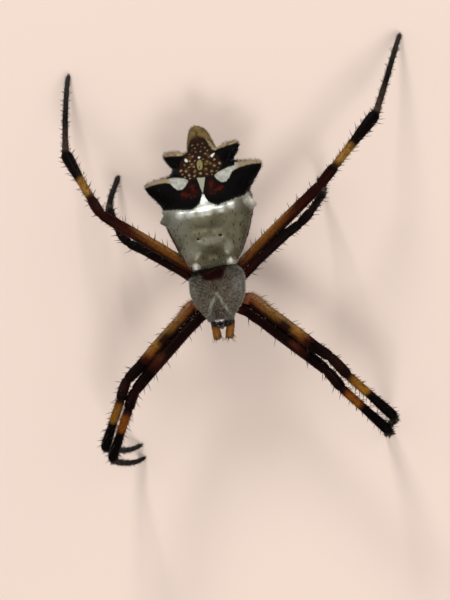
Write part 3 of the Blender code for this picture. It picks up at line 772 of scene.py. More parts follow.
def silverColours(finish, at):
    # the silver plate with its dips and lights: painted shade at its front and in its dip, painted
    # highlights on its middle, side, ridge, humps and a corner; and its muscle pits, specks and dashes
    where, x, v, side, lumps, streaks = at.where, at.x, at.v, at.side, at.lumps, at.streaks
    front = finish.spots((x + lumps) * 0.6, v, [(0.1, 0.8, 0.85)], 1.0)
    # painted shade in the dip in front of the ridge
    dipShade = finish.spots((x + lumps) * 0.42, v + lumps * 0.8, [(0.1, 2.72, 0.72)], 1.0)
    # painted highlights on the middle and the front corners of the plate
    softHighlight = finish.spots((x + lumps * 0.6) * 0.28, v + lumps * 0.4, [(-0.05, 1.72, 0.42)], 1.0)
    for acrossScale, alongScale, spot in ((0.62, 0.5, (-1.02, 0.56, 0.62)), (0.9, 0.6, (1.15, 0.62, 0.42))):
        softHighlight = softHighlight.most(finish.spots((x + lumps * 0.5) * acrossScale, v * alongScale, [spot], 1.0))
    # painted highlights in spots along the ridge
    lights = finish.spots(*at.flat, backMarks["ridgeLights"], 1.0)
    # painted highlights on the front humps and on the rear corner at the spider's left
    humps = finish.spots(side + lumps * 0.7, v * 1.2 + lumps * 0.6, [(1.36, -0.14, 0.42)], 1.0)
    corner = finish.spots(x + lumps * 0.6, v, [(3.4, 4.5, 0.75)], 1.0)
    pits = finish.spots(x, v, backMarks["pits"])
    specks = [(across, along * 0.8, radius) for across, along, radius in backMarks["specks"]]
    speckle = finish.spots(x + streaks * 0.05, v * 0.8, specks, 0.9)
    dashes = finish.cells(finish.scaled(where, (4.6, 1.6, 0.5)), 1.0).below(0.2, 0.1) * v.below(3.7)
    dashes = dashes * (finish.cloud(where, 0.9).above(0.5, 0.1) + side.above(1.5, 0.5)).least(1.0)
    dark = pits.most(speckle * 0.8).most(dashes * 0.7)
    sheen = finish.layered(
        backTones["silver"], backTones, ("paleSilver", finish.cloud(where, 0.55, 2.0).above(0.48, 0.3)),
        ("warmSilver", finish.cloud(where, 1.3, 3.0).above(0.56, 0.2) * 0.5),
        # painted shade at the front and in the dip, painted highlights on the middle and front
        ("frontShade", front * 0.8), ("dipShade", dipShade * 0.66), ("softHighlight", softHighlight * (0.35 + at.grain * 0.35)),
        # a painted highlight toward the rear of the plate on the spider's right
        ("sideHighlight", x.below(-1.6, 1.0) * v.above(2.6, 1.6) * 0.4),
        # a painted highlight along the ridge
        ("ridge", v.above(3.8, 0.5) * side.below(2.0, 1.6) * 0.6),
        ("ridgeEnd", v.above(3.6, 0.4) * side.above(2.5, 0.8) * 0.2),
        # painted highlights in spots on the ridge, the humps and a rear corner
        ("ridgeLight", lights * (0.5 + at.grain * 0.4)), ("shine", humps.most(corner * 0.9) * 0.85),
        ("speck", dark))
    return sheen, dark


def backColours(finish):
    # the markings of the abdomen; gives its colour, how silvery it is and its soft white parts
    at = BackPlace(finish)
    colour = flankColours(finish, at)
    for marked in (blackColours, fieldColours, rimColours):
        colour = marked(finish, at, colour)
    colour, white = whiteColours(finish, at, colour)
    sheen, dark = silverColours(finish, at)
    plateHalf = finish.level(at.v, backMarks["plateHalf"], 1.0, 5.0) + at.streaks * 0.1
    plateStart = finish.level(at.side, backMarks["plateStart"], -0.5, 0.1) + at.streaks * 0.06
    silver = at.v.below(at.plateEnd, 0.1) * (at.x - 0.12).size().below(plateHalf, 0.1)
    silver = silver * (at.z - at.x * 0.03).above(0.04, 0.16) * at.v.above(plateStart, 0.06)
    return finish.blend(colour, sheen, silver), silver * (1.0 - dark), white, at


def backFinish():
    finish = Finish("back silver and black", specular=0.035)
    colour, silver, white, at = backColours(finish)
    finish.colour(colour)
    finish.drive("Metallic", silver * 0.5)
    finish.drive("Roughness", 0.62 - silver * 0.2 - white * 0.12 + (at.grain - 0.5) * 0.12)
    flakes = finish.cells(at.where, 9.0, "DISTANCE_TO_EDGE").least(0.12) * 3.0
    height = at.grain * 0.6 + flakes * 0.25 + finish.cloud(at.where, 2.4, 3.0) * 1.6
    finish.bump(height.socket, 0.35, 0.05)
    return finish.material


shieldTones = linearTones({
    "skin": (22, 16, 11), "felt": (104, 94, 78), "worn": (66, 46, 30), "silver": (172, 176, 170),
    "freckle": (14, 10, 8), "head": (38, 28, 20), "line": (152, 152, 140), "fovea": (18, 12, 9),
    "rim": (186, 183, 170), "brow": (7, 6, 6), "tuft": (222, 220, 216), "overhangShadow": (14, 8, 6),
    "slope": (38, 9, 7),
})
shieldMarks = {
    # how far forward the down reaches over the black eye patches, from the middle outwards
    "brow": ((0.0, -2.08), (0.2, -2.03), (0.42, -1.92), (0.62, -2.0), (0.85, -2.25)),
    # where the bare rear slope starts, and how far its middle is to the spider's right
    "slopeStart": 1.08, "slopeMiddle": -0.2,
}


def shieldColours(finish):
    # grey felt over dark brown, with pale lines in a V and bare skin at the rear slope; painted sheen on
    # the flanks, a painted rim light along the margin and painted shadow under the abdomen's edge
    where = finish.place((shieldMiddle, 0.0, 0.0))
    x, y, z = finish.split(where)
    side = x.size()
    # the down runs out from the middle of the shield, so its flecks are drawn round that point
    round_, away = x.maths("ARCTAN2", x, 0.4 - y), (x * x + (y - 0.4) ** 2) ** 0.5
    felt = finish.cloud(finish.joined(round_ * 9.0, away * 3.0, z), 1.0, 3.0)
    fleck = finish.cloud(finish.joined(round_ * 16.0, away * 6.0, z * 2.0), 1.0, 2.0)
    unevenFelt, unevenFleck = felt - 0.5, fleck - 0.5
    # a painted sheen of silver light on both flanks, larger on the spider's left
    sheen = finish.spots(x * 1.2, y * 0.7, [(2.0, 0.5, 0.75)], 1.0)
    sheen = sheen.most(finish.spots(x * 1.2, y * 0.5, [(-2.1, 0.2, 0.45)], 1.0) * 0.6)
    freckles = finish.cells(finish.joined(round_ * 7.0, away * 3.2, z), 1.0).below(0.26, 0.14)
    # the head is darker between two pale lines
    fromLine = side + y * 0.51
    head = (fromLine - 0.02).below(0.0, 0.12) * y.above(-1.9, 0.2)
    line = (fromLine - 0.08).size().below(0.08 + unevenFelt * 0.6, 0.2)
    line = line * y.below(0.2) * y.above(-1.6, 0.4)
    line = line.most(finish.spots(side, y, [(0.0, 0.1, 0.2)], 0.9))
    fovea = finish.spots(side * 1.6, y * 0.5, [(0.0, 0.25, 0.17)], 0.9)
    # a painted rim light along the shield's low margin
    rim = z.below(carapace["margin"] + 0.22 + unevenFelt * 0.3, 0.2) * y.above(-1.7, 0.4) * y.below(2.0)
    brow = finish.level(side, shieldMarks["brow"], -2.4, -1.8) + unevenFleck * 0.2
    tuft = (y + 1.94).size().below(0.06, 0.08) * side.below(0.32 + unevenFleck * 0.5, 0.12)
    # painted shadow where the abdomen overhangs the shield's rear edge
    overhangShadow = (y - x * 0.19).above(1.88 + unevenFleck * 0.5, 0.25)
    fromMiddle = (x - shieldMarks["slopeMiddle"]).size()
    slope = y.above(shieldMarks["slopeStart"] + fromMiddle * 0.16 + unevenFelt * 0.4, 0.25)
    slope = slope * (fromMiddle - y * 0.3).below(0.36 + unevenFelt * 0.5, 0.3) * (1.0 - overhangShadow)
    colour = finish.layered(
        shieldTones["skin"], shieldTones, ("felt", (felt * 0.55 + fleck * 0.45).above(0.5, 0.16)),
        ("worn", finish.cloud(where, 1.1, 2.0).above(0.52, 0.2) * 0.5),
        ("silver", sheen * 0.6 * fleck.above(0.42, 0.3)), ("freckle", freckles * 0.8 * y.above(-1.9, 0.2)),
        ("head", head * fleck.below(0.62, 0.2) * 0.85), ("line", line * 0.66), ("fovea", fovea * 0.85),
        ("rim", rim * 0.7), ("brow", y.below(brow, 0.07)),
        ("tuft", tuft * fleck.above(0.44, 0.12) * 0.9), ("overhangShadow", overhangShadow * 0.92), ("slope", slope))
    return colour, slope, felt, where


def shieldFinish():
    finish = Finish("shield felt", specular=0.1)
    colour, slope, felt, where = shieldColours(finish)
    finish.colour(colour)
    finish.drive("Roughness", 0.68 - slope * 0.3)
    height = felt + finish.cloud(where, 14.0, 2.0) * 0.5
    finish.bump(height.socket, 0.5, 0.05)
    return finish.material


def chestFinish():
    finish = Finish("chest brown", roughness=0.42)
    where = finish.place((0.0, 0.0, 0.0))
    x, y, z = finish.split(where)
    cloud = finish.cloud(where, 2.6, 3.0)
    colour = finish.blend(tint(40, 18, 11), tint(74, 38, 20), cloud.above(0.48, 0.3))
    # a pale stripe down the middle of the sternum
    stripe = x.size().below(0.24 + (cloud - 0.5) * 0.3, 0.1) * z.below(5.5, 0.1)
    stripe = stripe * y.below(1.3) * y.above(-1.5)
    finish.colour(finish.blend(colour, tint(176, 158, 104), stripe))
    finish.bump(finish.cloud(where, 9.0, 3.0).socket, 0.4, 0.05)
    return finish.material


# finishes of the legs and mouth parts

legTones = {
    # colours along each pair of legs, by segment: how far along it, then red, green and blue
    1: {"coxa": ((0.0, 60, 28, 12), (0.8, 30, 9, 6)),
        "femur": ((0.03, 15, 4, 4), (0.12, 18, 5, 4), (0.4, 12, 4, 3), (0.52, 18, 6, 4),
                  (0.6, 66, 30, 16), (0.7, 40, 13, 8), (0.8, 4, 2, 2)),
        "patella": ((0.1, 24, 7, 6), (0.6, 22, 6, 5)),
        "tibia": ((0.0, 8, 4, 3), (0.06, 40, 15, 8), (0.14, 112, 60, 17), (0.36, 122, 68, 18),
                  (0.45, 6, 3, 3), (0.99, 4, 3, 3)),
        "metatarsus": ((0.05, 48, 37, 30), (0.25, 18, 15, 13), (0.9, 28, 26, 24)),
        "tarsus": ((0.9, 34, 33, 31),)},
    2: {"coxa": ((0.0, 84, 44, 24), (0.85, 122, 74, 44)),
        "femur": ((0.02, 108, 55, 31), (0.08, 108, 62, 30), (0.22, 102, 66, 28), (0.34, 98, 66, 26),
                  (0.42, 36, 17, 10), (0.5, 38, 18, 10), (0.56, 120, 79, 28), (0.65, 108, 63, 23),
                  (0.71, 56, 20, 10), (0.79, 7, 3, 3)),
        "patella": ((0.1, 22, 9, 7), (0.5, 34, 12, 8), (0.98, 10, 5, 4)),
        "tibia": ((0.03, 40, 18, 10), (0.1, 122, 80, 26), (0.38, 136, 92, 32), (0.46, 9, 5, 4),
                  (0.99, 5, 4, 4)),
        "metatarsus": ((0.05, 54, 42, 35), (0.25, 26, 22, 20), (0.9, 38, 35, 33)),
        "tarsus": ((0.9, 44, 43, 41),)},
    3: {"coxa": ((0.0, 60, 24, 14),),
        "femur": ((0.1, 44, 12, 9), (0.4, 22, 10, 9), (0.9, 11, 8, 8)),
        "patella": ((0.5, 16, 9, 8),),
        "tibia": ((0.2, 20, 12, 9), (0.8, 10, 9, 9)),
        "metatarsus": ((0.04, 70, 62, 55), (0.12, 26, 24, 23), (0.8, 36, 35, 34)),
        "tarsus": ((0.9, 40, 39, 38),)},
    4: {"coxa": ((0.0, 80, 42, 20), (0.8, 100, 60, 28)),
        "femur": ((0.02, 64, 34, 18), (0.1, 98, 54, 20), (0.4, 104, 61, 19), (0.6, 82, 40, 14),
                  (0.72, 50, 16, 8), (0.92, 30, 8, 5)),
        "patella": ((0.15, 38, 13, 7), (0.6, 30, 9, 5), (0.9, 20, 7, 5)),
        "tibia": ((0.0, 56, 32, 18), (0.08, 144, 106, 52), (0.33, 136, 96, 40), (0.44, 14, 7, 6),
                  (0.98, 5, 4, 4)),
        "metatarsus": ((0.03, 70, 56, 46), (0.3, 48, 38, 33), (0.45, 17, 15, 14), (0.9, 46, 44, 42)),
        "tarsus": ((0.9, 52, 51, 49),)},
}
legShades = linearTones({
    "pale": (152, 120, 74), "front": (22, 6, 5), "mottle": (22, 11, 8), "hair": (12, 8, 6),
})


def legFinish(leg, mapName, hairy=False):
    # bands along the leg, read from the skin's own unwrap: u round it and v from root to foot
    kind, specular = ("hair", 0.0) if hairy else ("skin", 0.02)
    finish = Finish(f"leg {leg.pair} {leg.side} {kind}", roughness=0.34, specular=specular)
    unwrap = finish.add("ShaderNodeUVMap", {"uv_map": mapName}).outputs["UV"]
    turn, run, _ = finish.split(unwrap)
    where = finish.place((0.0, 0.0, 0.0))
    lumps = finish.cloud(where, 2.4, 3.0) - 0.5
    mottle = finish.cloud(where, 5.0, 3.0)
    stops = []
    for index, name in enumerate(segmentNames):
        for fraction, *tone in legTones[leg.pair].get(name, ()):
            at = mix(leg.jointAt[index], leg.jointAt[index + 1], fraction)
            stops.append((at / leg.total, tint(*tone)))
    colour = finish.ramp(run + lumps * 0.012, stops)
    # a pale line of painted highlight along the rear of the second and last femurs, and dark red painted
    # shade on every femur's front
    rearTurn = 0.06 if leg.side == "right" else 0.44
    around = (turn - rearTurn) * math.tau
    toRear = around.maths("COSINE", around)
    hip, knee = leg.jointAt[1] / leg.total, leg.jointAt[2] / leg.total
    onFemur = run.below(knee * 0.72, 0.05) * run.above(hip, 0.02)
    layers = [("front", toRear.below(0.12, 0.6) * onFemur * 0.88),
              ("mottle", mottle.above(0.58, 0.16) * 0.4)]
    if leg.pair in (2, 4):
        layers.insert(0, ("pale", toRear.above(0.8, 0.3) * onFemur * (0.2 + mottle * 0.5)))
    if hairy:
        layers.append(("hair", 0.45))
    finish.colour(finish.layered(colour, legShades, *layers))
    if not hairy:
        finish.drive("Roughness", 0.3 + mottle * 0.2)
        finish.bump(finish.cloud(where, 12.0, 3.0).socket, 0.35, 0.03)
    return finish.material


def plainFinish(name, dark, light, scale, roughness, bumpy=0.3, **others):
    finish = Finish(name, roughness=roughness, **others)
    where = finish.place((0.0, 0.0, 0.0))
    mottle = finish.cloud(where, scale, 3.0).above(0.5, 0.35)
    finish.colour(finish.blend(tint(*dark), tint(*light), mottle))
    if bumpy:
        finish.bump(finish.cloud(where, scale * 3, 2.0).socket, bumpy, 0.03)
    return finish.material


# hairs and spines

def hairShape():
    # one three-sided hair of unit length and thickness: its points and triangles
    form = bmesh.new()
    middle, swell = 0.5, 1.35
    bmesh.ops.create_cone(form, cap_ends=True, cap_tris=True, segments=3, radius1=1.0, radius2=0.14,
                          depth=1.0, matrix=Matrix.Translation((0, 0, 0.5)))
    bmesh.ops.bisect_plane(form, geom=form.verts[:] + form.edges[:] + form.faces[:],
                           plane_co=(0, 0, middle), plane_no=(0, 0, 1))
    for vert in form.verts:
        if abs(vert.co.z - middle) < 0.01:
            vert.co.x *= swell
            vert.co.y *= swell
    bmesh.ops.triangulate(form, faces=form.faces)
    bmesh.ops.recalc_face_normals(form, faces=form.faces)
    form.verts.index_update()
    points = np.array([vert.co for vert in form.verts])
    corners = np.array([[vert.index for vert in face.verts] for face in form.faces])
    form.free()
    return points, corners


hairPoints, hairCorners = hairShape()
hairPatch = 0.0015    # how large each hair's triangles lie in its unwrap


def hairCoat(name, hairs, finishes):
    # hairs are (root, way, bend, length, thickness, (u, v), finish); each is one closed spike, which
    # takes its colour from the point of the skin it grows from
    roots, ways, bends = (np.array([hair[part][:] for hair in hairs], dtype=float) for part in (0, 1, 2))
    lengths, thick = (np.array([hair[part] for hair in hairs])[:, None, None] for part in (3, 4))
    aside = np.cross(ways, np.where(np.abs(ways[:, 2:3]) > 0.9, [[1.0, 0, 0]], [[0, 0, 1.0]]))
    aside /= np.linalg.norm(aside, axis=1)[:, None]
    other = np.cross(ways, aside)
    x, y, z = (hairPoints[None, :, axis, None] for axis in range(3))
    points = (roots[:, None] + ways[:, None] * z * lengths + bends[:, None] * z**2 * lengths
              + (aside[:, None] * x + other[:, None] * y) * thick)
    points[:, :, 2] = np.maximum(points[:, :, 2], 0.002)    # none goes through the floor
    points = (points.reshape(-1, 3) + np.array(bodyShift[:])) * mm
    starts = np.arange(len(hairs)) * len(hairPoints)
    corners = hairCorners[None] + starts[:, None, None]
    mesh = bpy.data.meshes.new(name)
    mesh.from_pydata(points.tolist(), [], corners.reshape(-1, 3).tolist())
    places = np.array([hair[5] for hair in hairs])
    patch = np.stack([hairPoints[:, 0], hairPoints[:, 2] - 0.5], axis=1) * hairPatch
    unwrap = places[:, None, None, :] + patch[hairCorners][None]
    mesh.uv_layers.new(name="OFBake").data.foreach_set("uv", unwrap.reshape(-1))
    kinds = np.repeat(np.array([hair[6] for hair in hairs]), len(hairCorners))
    mesh.polygons.foreach_set("material_index", kinds)
    putInScene(name, mesh, finishes)
    print(name, len(hairs), "hairs")


legHairs = {
    # by segment: fine hairs per millimetre, their length, and the spines' spacing and length
    "coxa": (45, (0.12, 0.2), 0.0, (0, 0)), "femur": (60, (0.1, 0.2), 1.15, (0.3, 0.72)),
    "patella": (55, (0.12, 0.24), 0.9, (0.3, 0.6)), "tibia": (80, (0.14, 0.28), 0.66, (0.3, 0.62)),
    "metatarsus": (80, (0.12, 0.26), 0.8, (0.25, 0.42)), "tarsus": (90, (0.12, 0.24), 0.0, (0, 0)),
    # how many pale hairs the back of each hip has, and round the leg, the rows of spines
    "fuzz": {1: 40, 2: 240, 3: 40, 4: 120}, "fuzzLength": (0.16, 0.34),
    "thickness": 0.011, "spineThickness": 0.032, "spineTurns": (0.02, 0.14, 0.36, 0.48, 0.62, 0.88),
}


def legCoat(leg):
    chance = random.Random(leg.pair * 2 + (leg.side == "left"))
    hairs = []

    def grow(at, turn, length, thickness, lean, kind):
        index = leg.indexAt(at)
        point, normal = leg.surface(turn, index)
        along = leg.alongs[index]
        way = (normal + along * lean).normalized()
        bend = along * 0.12 - normal * 0.05
        root = point - normal * thickness
        if root.z >= 0.15:    # the soles are bare
            hairs.append((root, way, bend, length, thickness, (turn % 1.0, at / leg.total), kind))

    rearTurn = 0.0 if leg.side == "right" else 0.5
    for _ in range(legHairs["fuzz"][leg.pair]):
        grow(leg.jointAt[1] + chance.triangular(-0.5, 2.6, 0.1), rearTurn + chance.uniform(-0.2, 0.2),
             chance.uniform(*legHairs["fuzzLength"]), legHairs["thickness"], chance.uniform(-0.3, 0.9), 2)
    for index, name in enumerate(segmentNames):
        begun, done = leg.jointAt[index], leg.jointAt[index + 1]
        perMillimetre, lengths, spacing, spineLengths = legHairs[name]
        if name == "coxa":
            begun = mix(begun, done, 0.6)
        for _ in range(round((done - begun) * perMillimetre)):
            grow(chance.uniform(begun, done), chance.random(), chance.uniform(*lengths),
                 legHairs["thickness"] * chance.uniform(0.7, 1.2), chance.uniform(0.5, 1.6), 0)
        for row, turn in enumerate(legHairs["spineTurns"] if spacing else ()):
            at = begun + spacing * (0.35 + 0.17 * (row % 3))
            while at < done - 0.12:
                grow(at + chance.uniform(-0.12, 0.12), turn + chance.uniform(-0.04, 0.04),
                     chance.uniform(*spineLengths), legHairs["spineThickness"],
                     chance.uniform(0.25, 0.7), 1)
                at += spacing * chance.uniform(0.8, 1.35)
    return hairs


def skinHairs(place, count, accept, lengths, lean, seed, thickness, turns=(0.0, 1.0),
              runs=(0.01, 0.99), kind=0, lift=(0.35, 0.75)):
    # hairs over a rolled skin: accept gives how dense they stand, lean which way they lie
    chance = random.Random(seed)
    hairs = []
    while len(hairs) < count:
        turn, run = chance.uniform(*turns), chance.uniform(*runs)
        point = place(turn, run)
        if chance.random() > accept(point, run):
            continue
        step = 0.003
        round_ = place(turn + step, run) - place(turn - step, run)
        down = place(turn, min(run + step, 1)) - place(turn, run - step)
        normal = down.cross(round_)
        if normal.length < 1e-9:
            continue
        normal.normalize()
        way = (normal * chance.uniform(*lift) + lean(point, chance)).normalized()
        length = chance.uniform(*lengths)
        hairs.append((point - normal * thickness, way, -normal * 0.2, length,
                      thickness * chance.uniform(0.7, 1.2), (turn, run), kind))
    return hairs


def onLine(points, run):
    # a smooth line through a few points
    spot = [(index / (len(points) - 1), point) for index, point in enumerate(points)]
    return Vector([curve([(at, point[axis]) for at, point in spot], run) for axis in range(3)])


def limbPlace(points, widths, swing=Vector((0, 0, 1))):
    # a round limb along a smooth line, rounded over a share of its run at both ends
    share = 0.06

    def place(turn, run):
        along = (onLine(points, min(run + 0.02, 1)) - onLine(points, max(run - 0.02, 0))).normalized()
        across = along.cross(swing).normalized()
        wide = curve(widths, run) * math.sqrt(max(0.0, 1 - (1 - min(run, 1 - run, share) / share) ** 2))
        ring = across * math.cos(turn * math.tau) + across.cross(along) * math.sin(turn * math.tau)
        return onLine(points, run) + ring * wide
    return place


# the making

finishPiece("trunkSkin", trunkForm(), [backFinish(), shieldFinish(), chestFinish()],
            ["abdomen", "carapace", "sternum", "pedicel", "spinnerets"])

spiderLegs = []
spineFinish = plainFinish("spine black", (10, 8, 8), (26, 20, 18), 3.0, 0.4, 0)
fuzzFinish = plainFinish("fuzz pale", (150, 112, 84), (206, 184, 160), 3.0, 0.5, 0)
for side in ("left", "right"):
    for pair in (1, 2, 3, 4):
        leg = Leg(side, pair)
        spiderLegs.append(leg)
        form = rolled(legs["around"], leg.count - 1, leg.place)
        finishPiece(f"leg{pair}{side.title()}Skin", form, [legFinish(leg, "skin")],
                    [f"leg_{pair}_{side}_{name}" for name in segmentNames[1:]])
        hairCoat(f"leg{pair}{side.title()}Hair", legCoat(leg),
                 [legFinish(leg, "OFBake", True), spineFinish, fuzzFinish])

# two small claws at the end of each foot
claws = {
    # a hook's bends from the foot's end, sideways, outward and up, and its radii along it
    "bends": ((0.03, 0.0, 0.07), (0.05, 0.1, 0.1), (0.05, 0.19, 0.02)),
    "widths": ((0.0, 0.035), (0.5, 0.028), (1.0, 0.008)), "grid": (10, 12),
}
clawForm = bmesh.new()
for leg in spiderLegs:
    foot, along = leg.centres[-1], leg.alongs[-1]
    outward = Vector((along.x, along.y, 0)).normalized()
    for sign in (1, -1):
        aside = outward.cross(Vector((0, 0, 1))) * sign
        hook = [foot + aside * x + outward * y + Vector((0, 0, z)) for x, y, z in claws["bends"]]
        rolled(*claws["grid"], limbPlace(hook, claws["widths"]), clawForm)
finishPiece("claws", clawForm, [spineFinish])

# mouth parts: jaws with their fangs, and the two palps that point forward; bends are from the shield's
# middle and margin, outward, back and up
palps = {
    "bends": ((0.58, -1.75, -0.75), (0.66, -2.02, -0.52), (0.62, -2.28, -0.42), (0.54, -2.6, -0.42),
              (0.49, -2.95, -0.52), (0.47, -3.34, -0.66)),
    "widths": ((0.0, 0.2), (0.2, 0.26), (0.36, 0.27), (0.44, 0.3), (0.54, 0.31), (0.6, 0.3), (0.7, 0.32),
               (0.84, 0.31), (0.92, 0.28), (0.97, 0.22), (1.0, 0.14)),
    "grid": (28, 60), "hairs": 160, "hairThickness": 0.008,
    "bristles": 15, "bristleLength": (0.28, 0.5), "bristleThickness": 0.02,
    "lean": 0.12,    # to the spider's right, per millimetre in front of the head
}
jaws = {
    "bends": ((0.24, -1.85, 0.0), (0.26, -2.22, -0.75), (0.26, -2.42, -1.5)),
    "widths": ((0.0, 0.2), (0.4, 0.235), (0.7, 0.22), (1.0, 0.17)), "grid": (28, 36),
}
fangs = {
    "bends": ((0.29, -2.44, -1.48), (0.24, -2.5, -1.72), (0.1, -2.34, -1.88)),
    "widths": ((0.0, 0.1), (0.5, 0.075), (1.0, 0.02)), "grid": (14, 18),
}


def mirroredPoints(points, sign):
    return [(shieldMiddle + palps["lean"] * min(0.0, y - shieldFront) + sign * x, y, z + carapace["margin"])
            for x, y, z in points]


palpForm, jawForm, fangForm, palpHairs = bmesh.new(), bmesh.new(), bmesh.new(), []
for sign in (1, -1):
    palpPlace = limbPlace(mirroredPoints(palps["bends"], sign), palps["widths"])
    rolled(*palps["grid"], palpPlace, palpForm)
    palpHairs += skinHairs(
        palpPlace, palps["hairs"], lambda point, run: 0.15 + run**2, (0.08, 0.18),
        lambda point, chance: Vector((0, -1, -0.2)), 40 + sign, palps["hairThickness"])
    chance = random.Random(50 + sign)
    for _ in range(palps["bristles"]):
        turn, run = chance.random(), chance.uniform(0.78, 0.98)
        root = palpPlace(turn, run)
        outward = (root - palpPlace(turn + 0.5, run)).normalized()
        way = (outward * chance.uniform(0.3, 1.1) + Vector((0, -1, 0.1))).normalized()
        length = chance.uniform(*palps["bristleLength"])
        palpHairs.append((root - outward * 0.02, way, Vector((0, -0.1, 0)), length,
                          palps["bristleThickness"], (turn, run), 1))
    for form, shape in ((jawForm, jaws), (fangForm, fangs)):
        place = limbPlace(mirroredPoints(shape["bends"], sign), shape["widths"], Vector((0, 1, 0)))
        rolled(*shape["grid"], place, form)


def mouthFinish(name, dark, light, top, front):
    # amber that darkens toward its root, with painted shade low down its sides
    finish = Finish(name, roughness=0.36, specular=0.15)
    where = finish.place((0.0, 0.0, carapace["margin"]))
    _, y, z = finish.split(where)
    cloud = finish.cloud(where, 2.2, 3.0)
    colour = finish.blend(tint(*light), tint(*dark), z.below(top + (cloud - 0.5) * 0.3, 0.3) * 0.75)
    colour = finish.blend(colour, tint(22, 12, 8), y.above(front + (cloud - 0.5) * 0.3, 0.4) * 0.9)
    finish.colour(colour)
    finish.bump(finish.cloud(where, 8.0, 2.0).socket, 0.3, 0.03)
    return finish.material


palpAmber = mouthFinish("palp amber", (58, 29, 6), (128, 80, 20), -0.36, -2.3)
palpHair = plainFinish("palp hair", (60, 38, 16), (120, 86, 42), 4.0, 0.5, 0)
jawBrown = mouthFinish("jaw brown", (40, 20, 10), (96, 54, 22), -0.9, -2.6)
fangBlack = plainFinish("fang black", (18, 8, 6), (52, 20, 12), 3.0, 0.18, 0.1)
finishPiece("palps", palpForm, [palpAmber], ["pedipalp_left", "pedipalp_right"])
hairCoat("palpHair", palpHairs, [palpHair, spineFinish])
finishPiece("jaws", jawForm, [jawBrown], ["chelicera_left", "chelicera_right"])
finishPiece("fangs", fangForm, [fangBlack], ["fang_left", "fang_right"])

# eight domed eyes, each where its node stands
eyes = {
    # faces round and up, radius and inset as shares of the node's half width, and the point in the
    # head that they are set in toward
    "grid": (24, 16), "radius": 0.95, "inset": 0.35,
    "middle": (shieldMiddle, -1.7, carapace["margin"] + 0.3),
}


def eyePlace(centre, radius):
    def place(turn, run):
        flat = math.sin(math.pi * run)
        return centre + radius * Vector((
            flat * math.cos(turn * math.tau), flat * math.sin(turn * math.tau), -math.cos(math.pi * run)))
    return place


eyeForm = bmesh.new()
eyeNodes = [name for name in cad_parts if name.startswith("eye_")]
for name in eyeNodes:
    low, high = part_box(name)
    middle = (low + high) / 2 / mm - bodyShift
    wide = max(high - low) / 2 / mm
    inward = (Vector(eyes["middle"]) - middle).normalized()
    ball = eyePlace(middle + inward * wide * eyes["inset"], wide * eyes["radius"])
    rolled(*eyes["grid"], ball, eyeForm)
eyeBlack = plainFinish("eye black", (2, 2, 2), (9, 7, 6), 2.0, 0.12, 0, Coat_Weight=0.3)
finishPiece("eyes", eyeForm, [eyeBlack], eyeNodes)


# down on the shield, short silver hairs on the abdomen's edges and fine dark ones behind
def shieldDensity(point, run):
    # none on the underside, on the bare slope at the rear or over the eyes
    out = abs(point.x - shieldMiddle - shieldMarks["slopeMiddle"])
    onSlope = point.y > shieldMarks["slopeStart"] + 0.04 and out < 0.32 + 0.36 * point.y
    if onSlope or point.z < carapace["margin"] + 0.02:
        return 0.0
    return 1.0 if -1.92 < point.y < 1.85 + point.x * 0.19 else 0.0


def shieldLie(point, chance):
    outward = Vector((point.x * 0.5, 0.9 if point.y > -1.2 else -0.2, -0.25))
    return outward.normalized() + Vector([chance.uniform(-0.45, 0.45) for _ in range(3)])


def backDensity(point, run):
    local = abdomenFrame.inverted() @ point
    edge = 0.5 * bell(local.z + 0.1, 0.45)
    front = 1.0 * bell(local.y, 0.12) * (local.z > -0.1)
    rear = 0.15 if local.y > 6.8 else 0.0
    belly = 0.18 if local.z < -0.4 else 0.0
    return min(1.0, edge + front + rear + belly)


def backLie(point, chance):
    local = abdomenFrame.inverted() @ point
    back = -1 if local.y < 0.2 else 1    # the front edge has a fringe that hangs over the waist
    way = abdomenTurn @ Vector((0.25 * math.copysign(1, point.x), back, -0.1))
    return way.normalized() + Vector([chance.uniform(-0.4, 0.4) for _ in range(3)])


def ridgeDensity(point, run):
    # white down that hangs over the front of the black
    local = abdomenFrame.inverted() @ point
    start, slope = backMarks["midline"]
    u, v = local.x + start + local.y * slope, local.y - local.x * abdomen["skew"]
    return bell(v - curve(backMarks["plateEnd"], abs(u)) + 0.1, 0.1)


def flankDensity(point, run):
    # black bristles along the sides of the rear half and round the lobes
    local = abdomenFrame.inverted() @ point
    return bell(local.z - 0.1, 0.5) * (abs(local.x) > 1.6)


def downFinish(name, colours, pale, amount):
    # hair in the colours of the skin under it, paler where that skin is pale
    finish = Finish(name, roughness=0.6, specular=0.15)
    colour, mask = colours(finish)[:2]
    finish.colour(finish.blend(colour, tint(*pale), amount(mask)))
    return finish.material


shieldCoat = skinHairs(carapacePoint, 9000, shieldDensity, (0.1, 0.24), shieldLie, 5, 0.008)
shieldDown = downFinish("shield down", shieldColours, (186, 182, 168), lambda bare: 0.3 - bare * 0.3)
hairCoat("shieldDown", shieldCoat, [shieldDown])

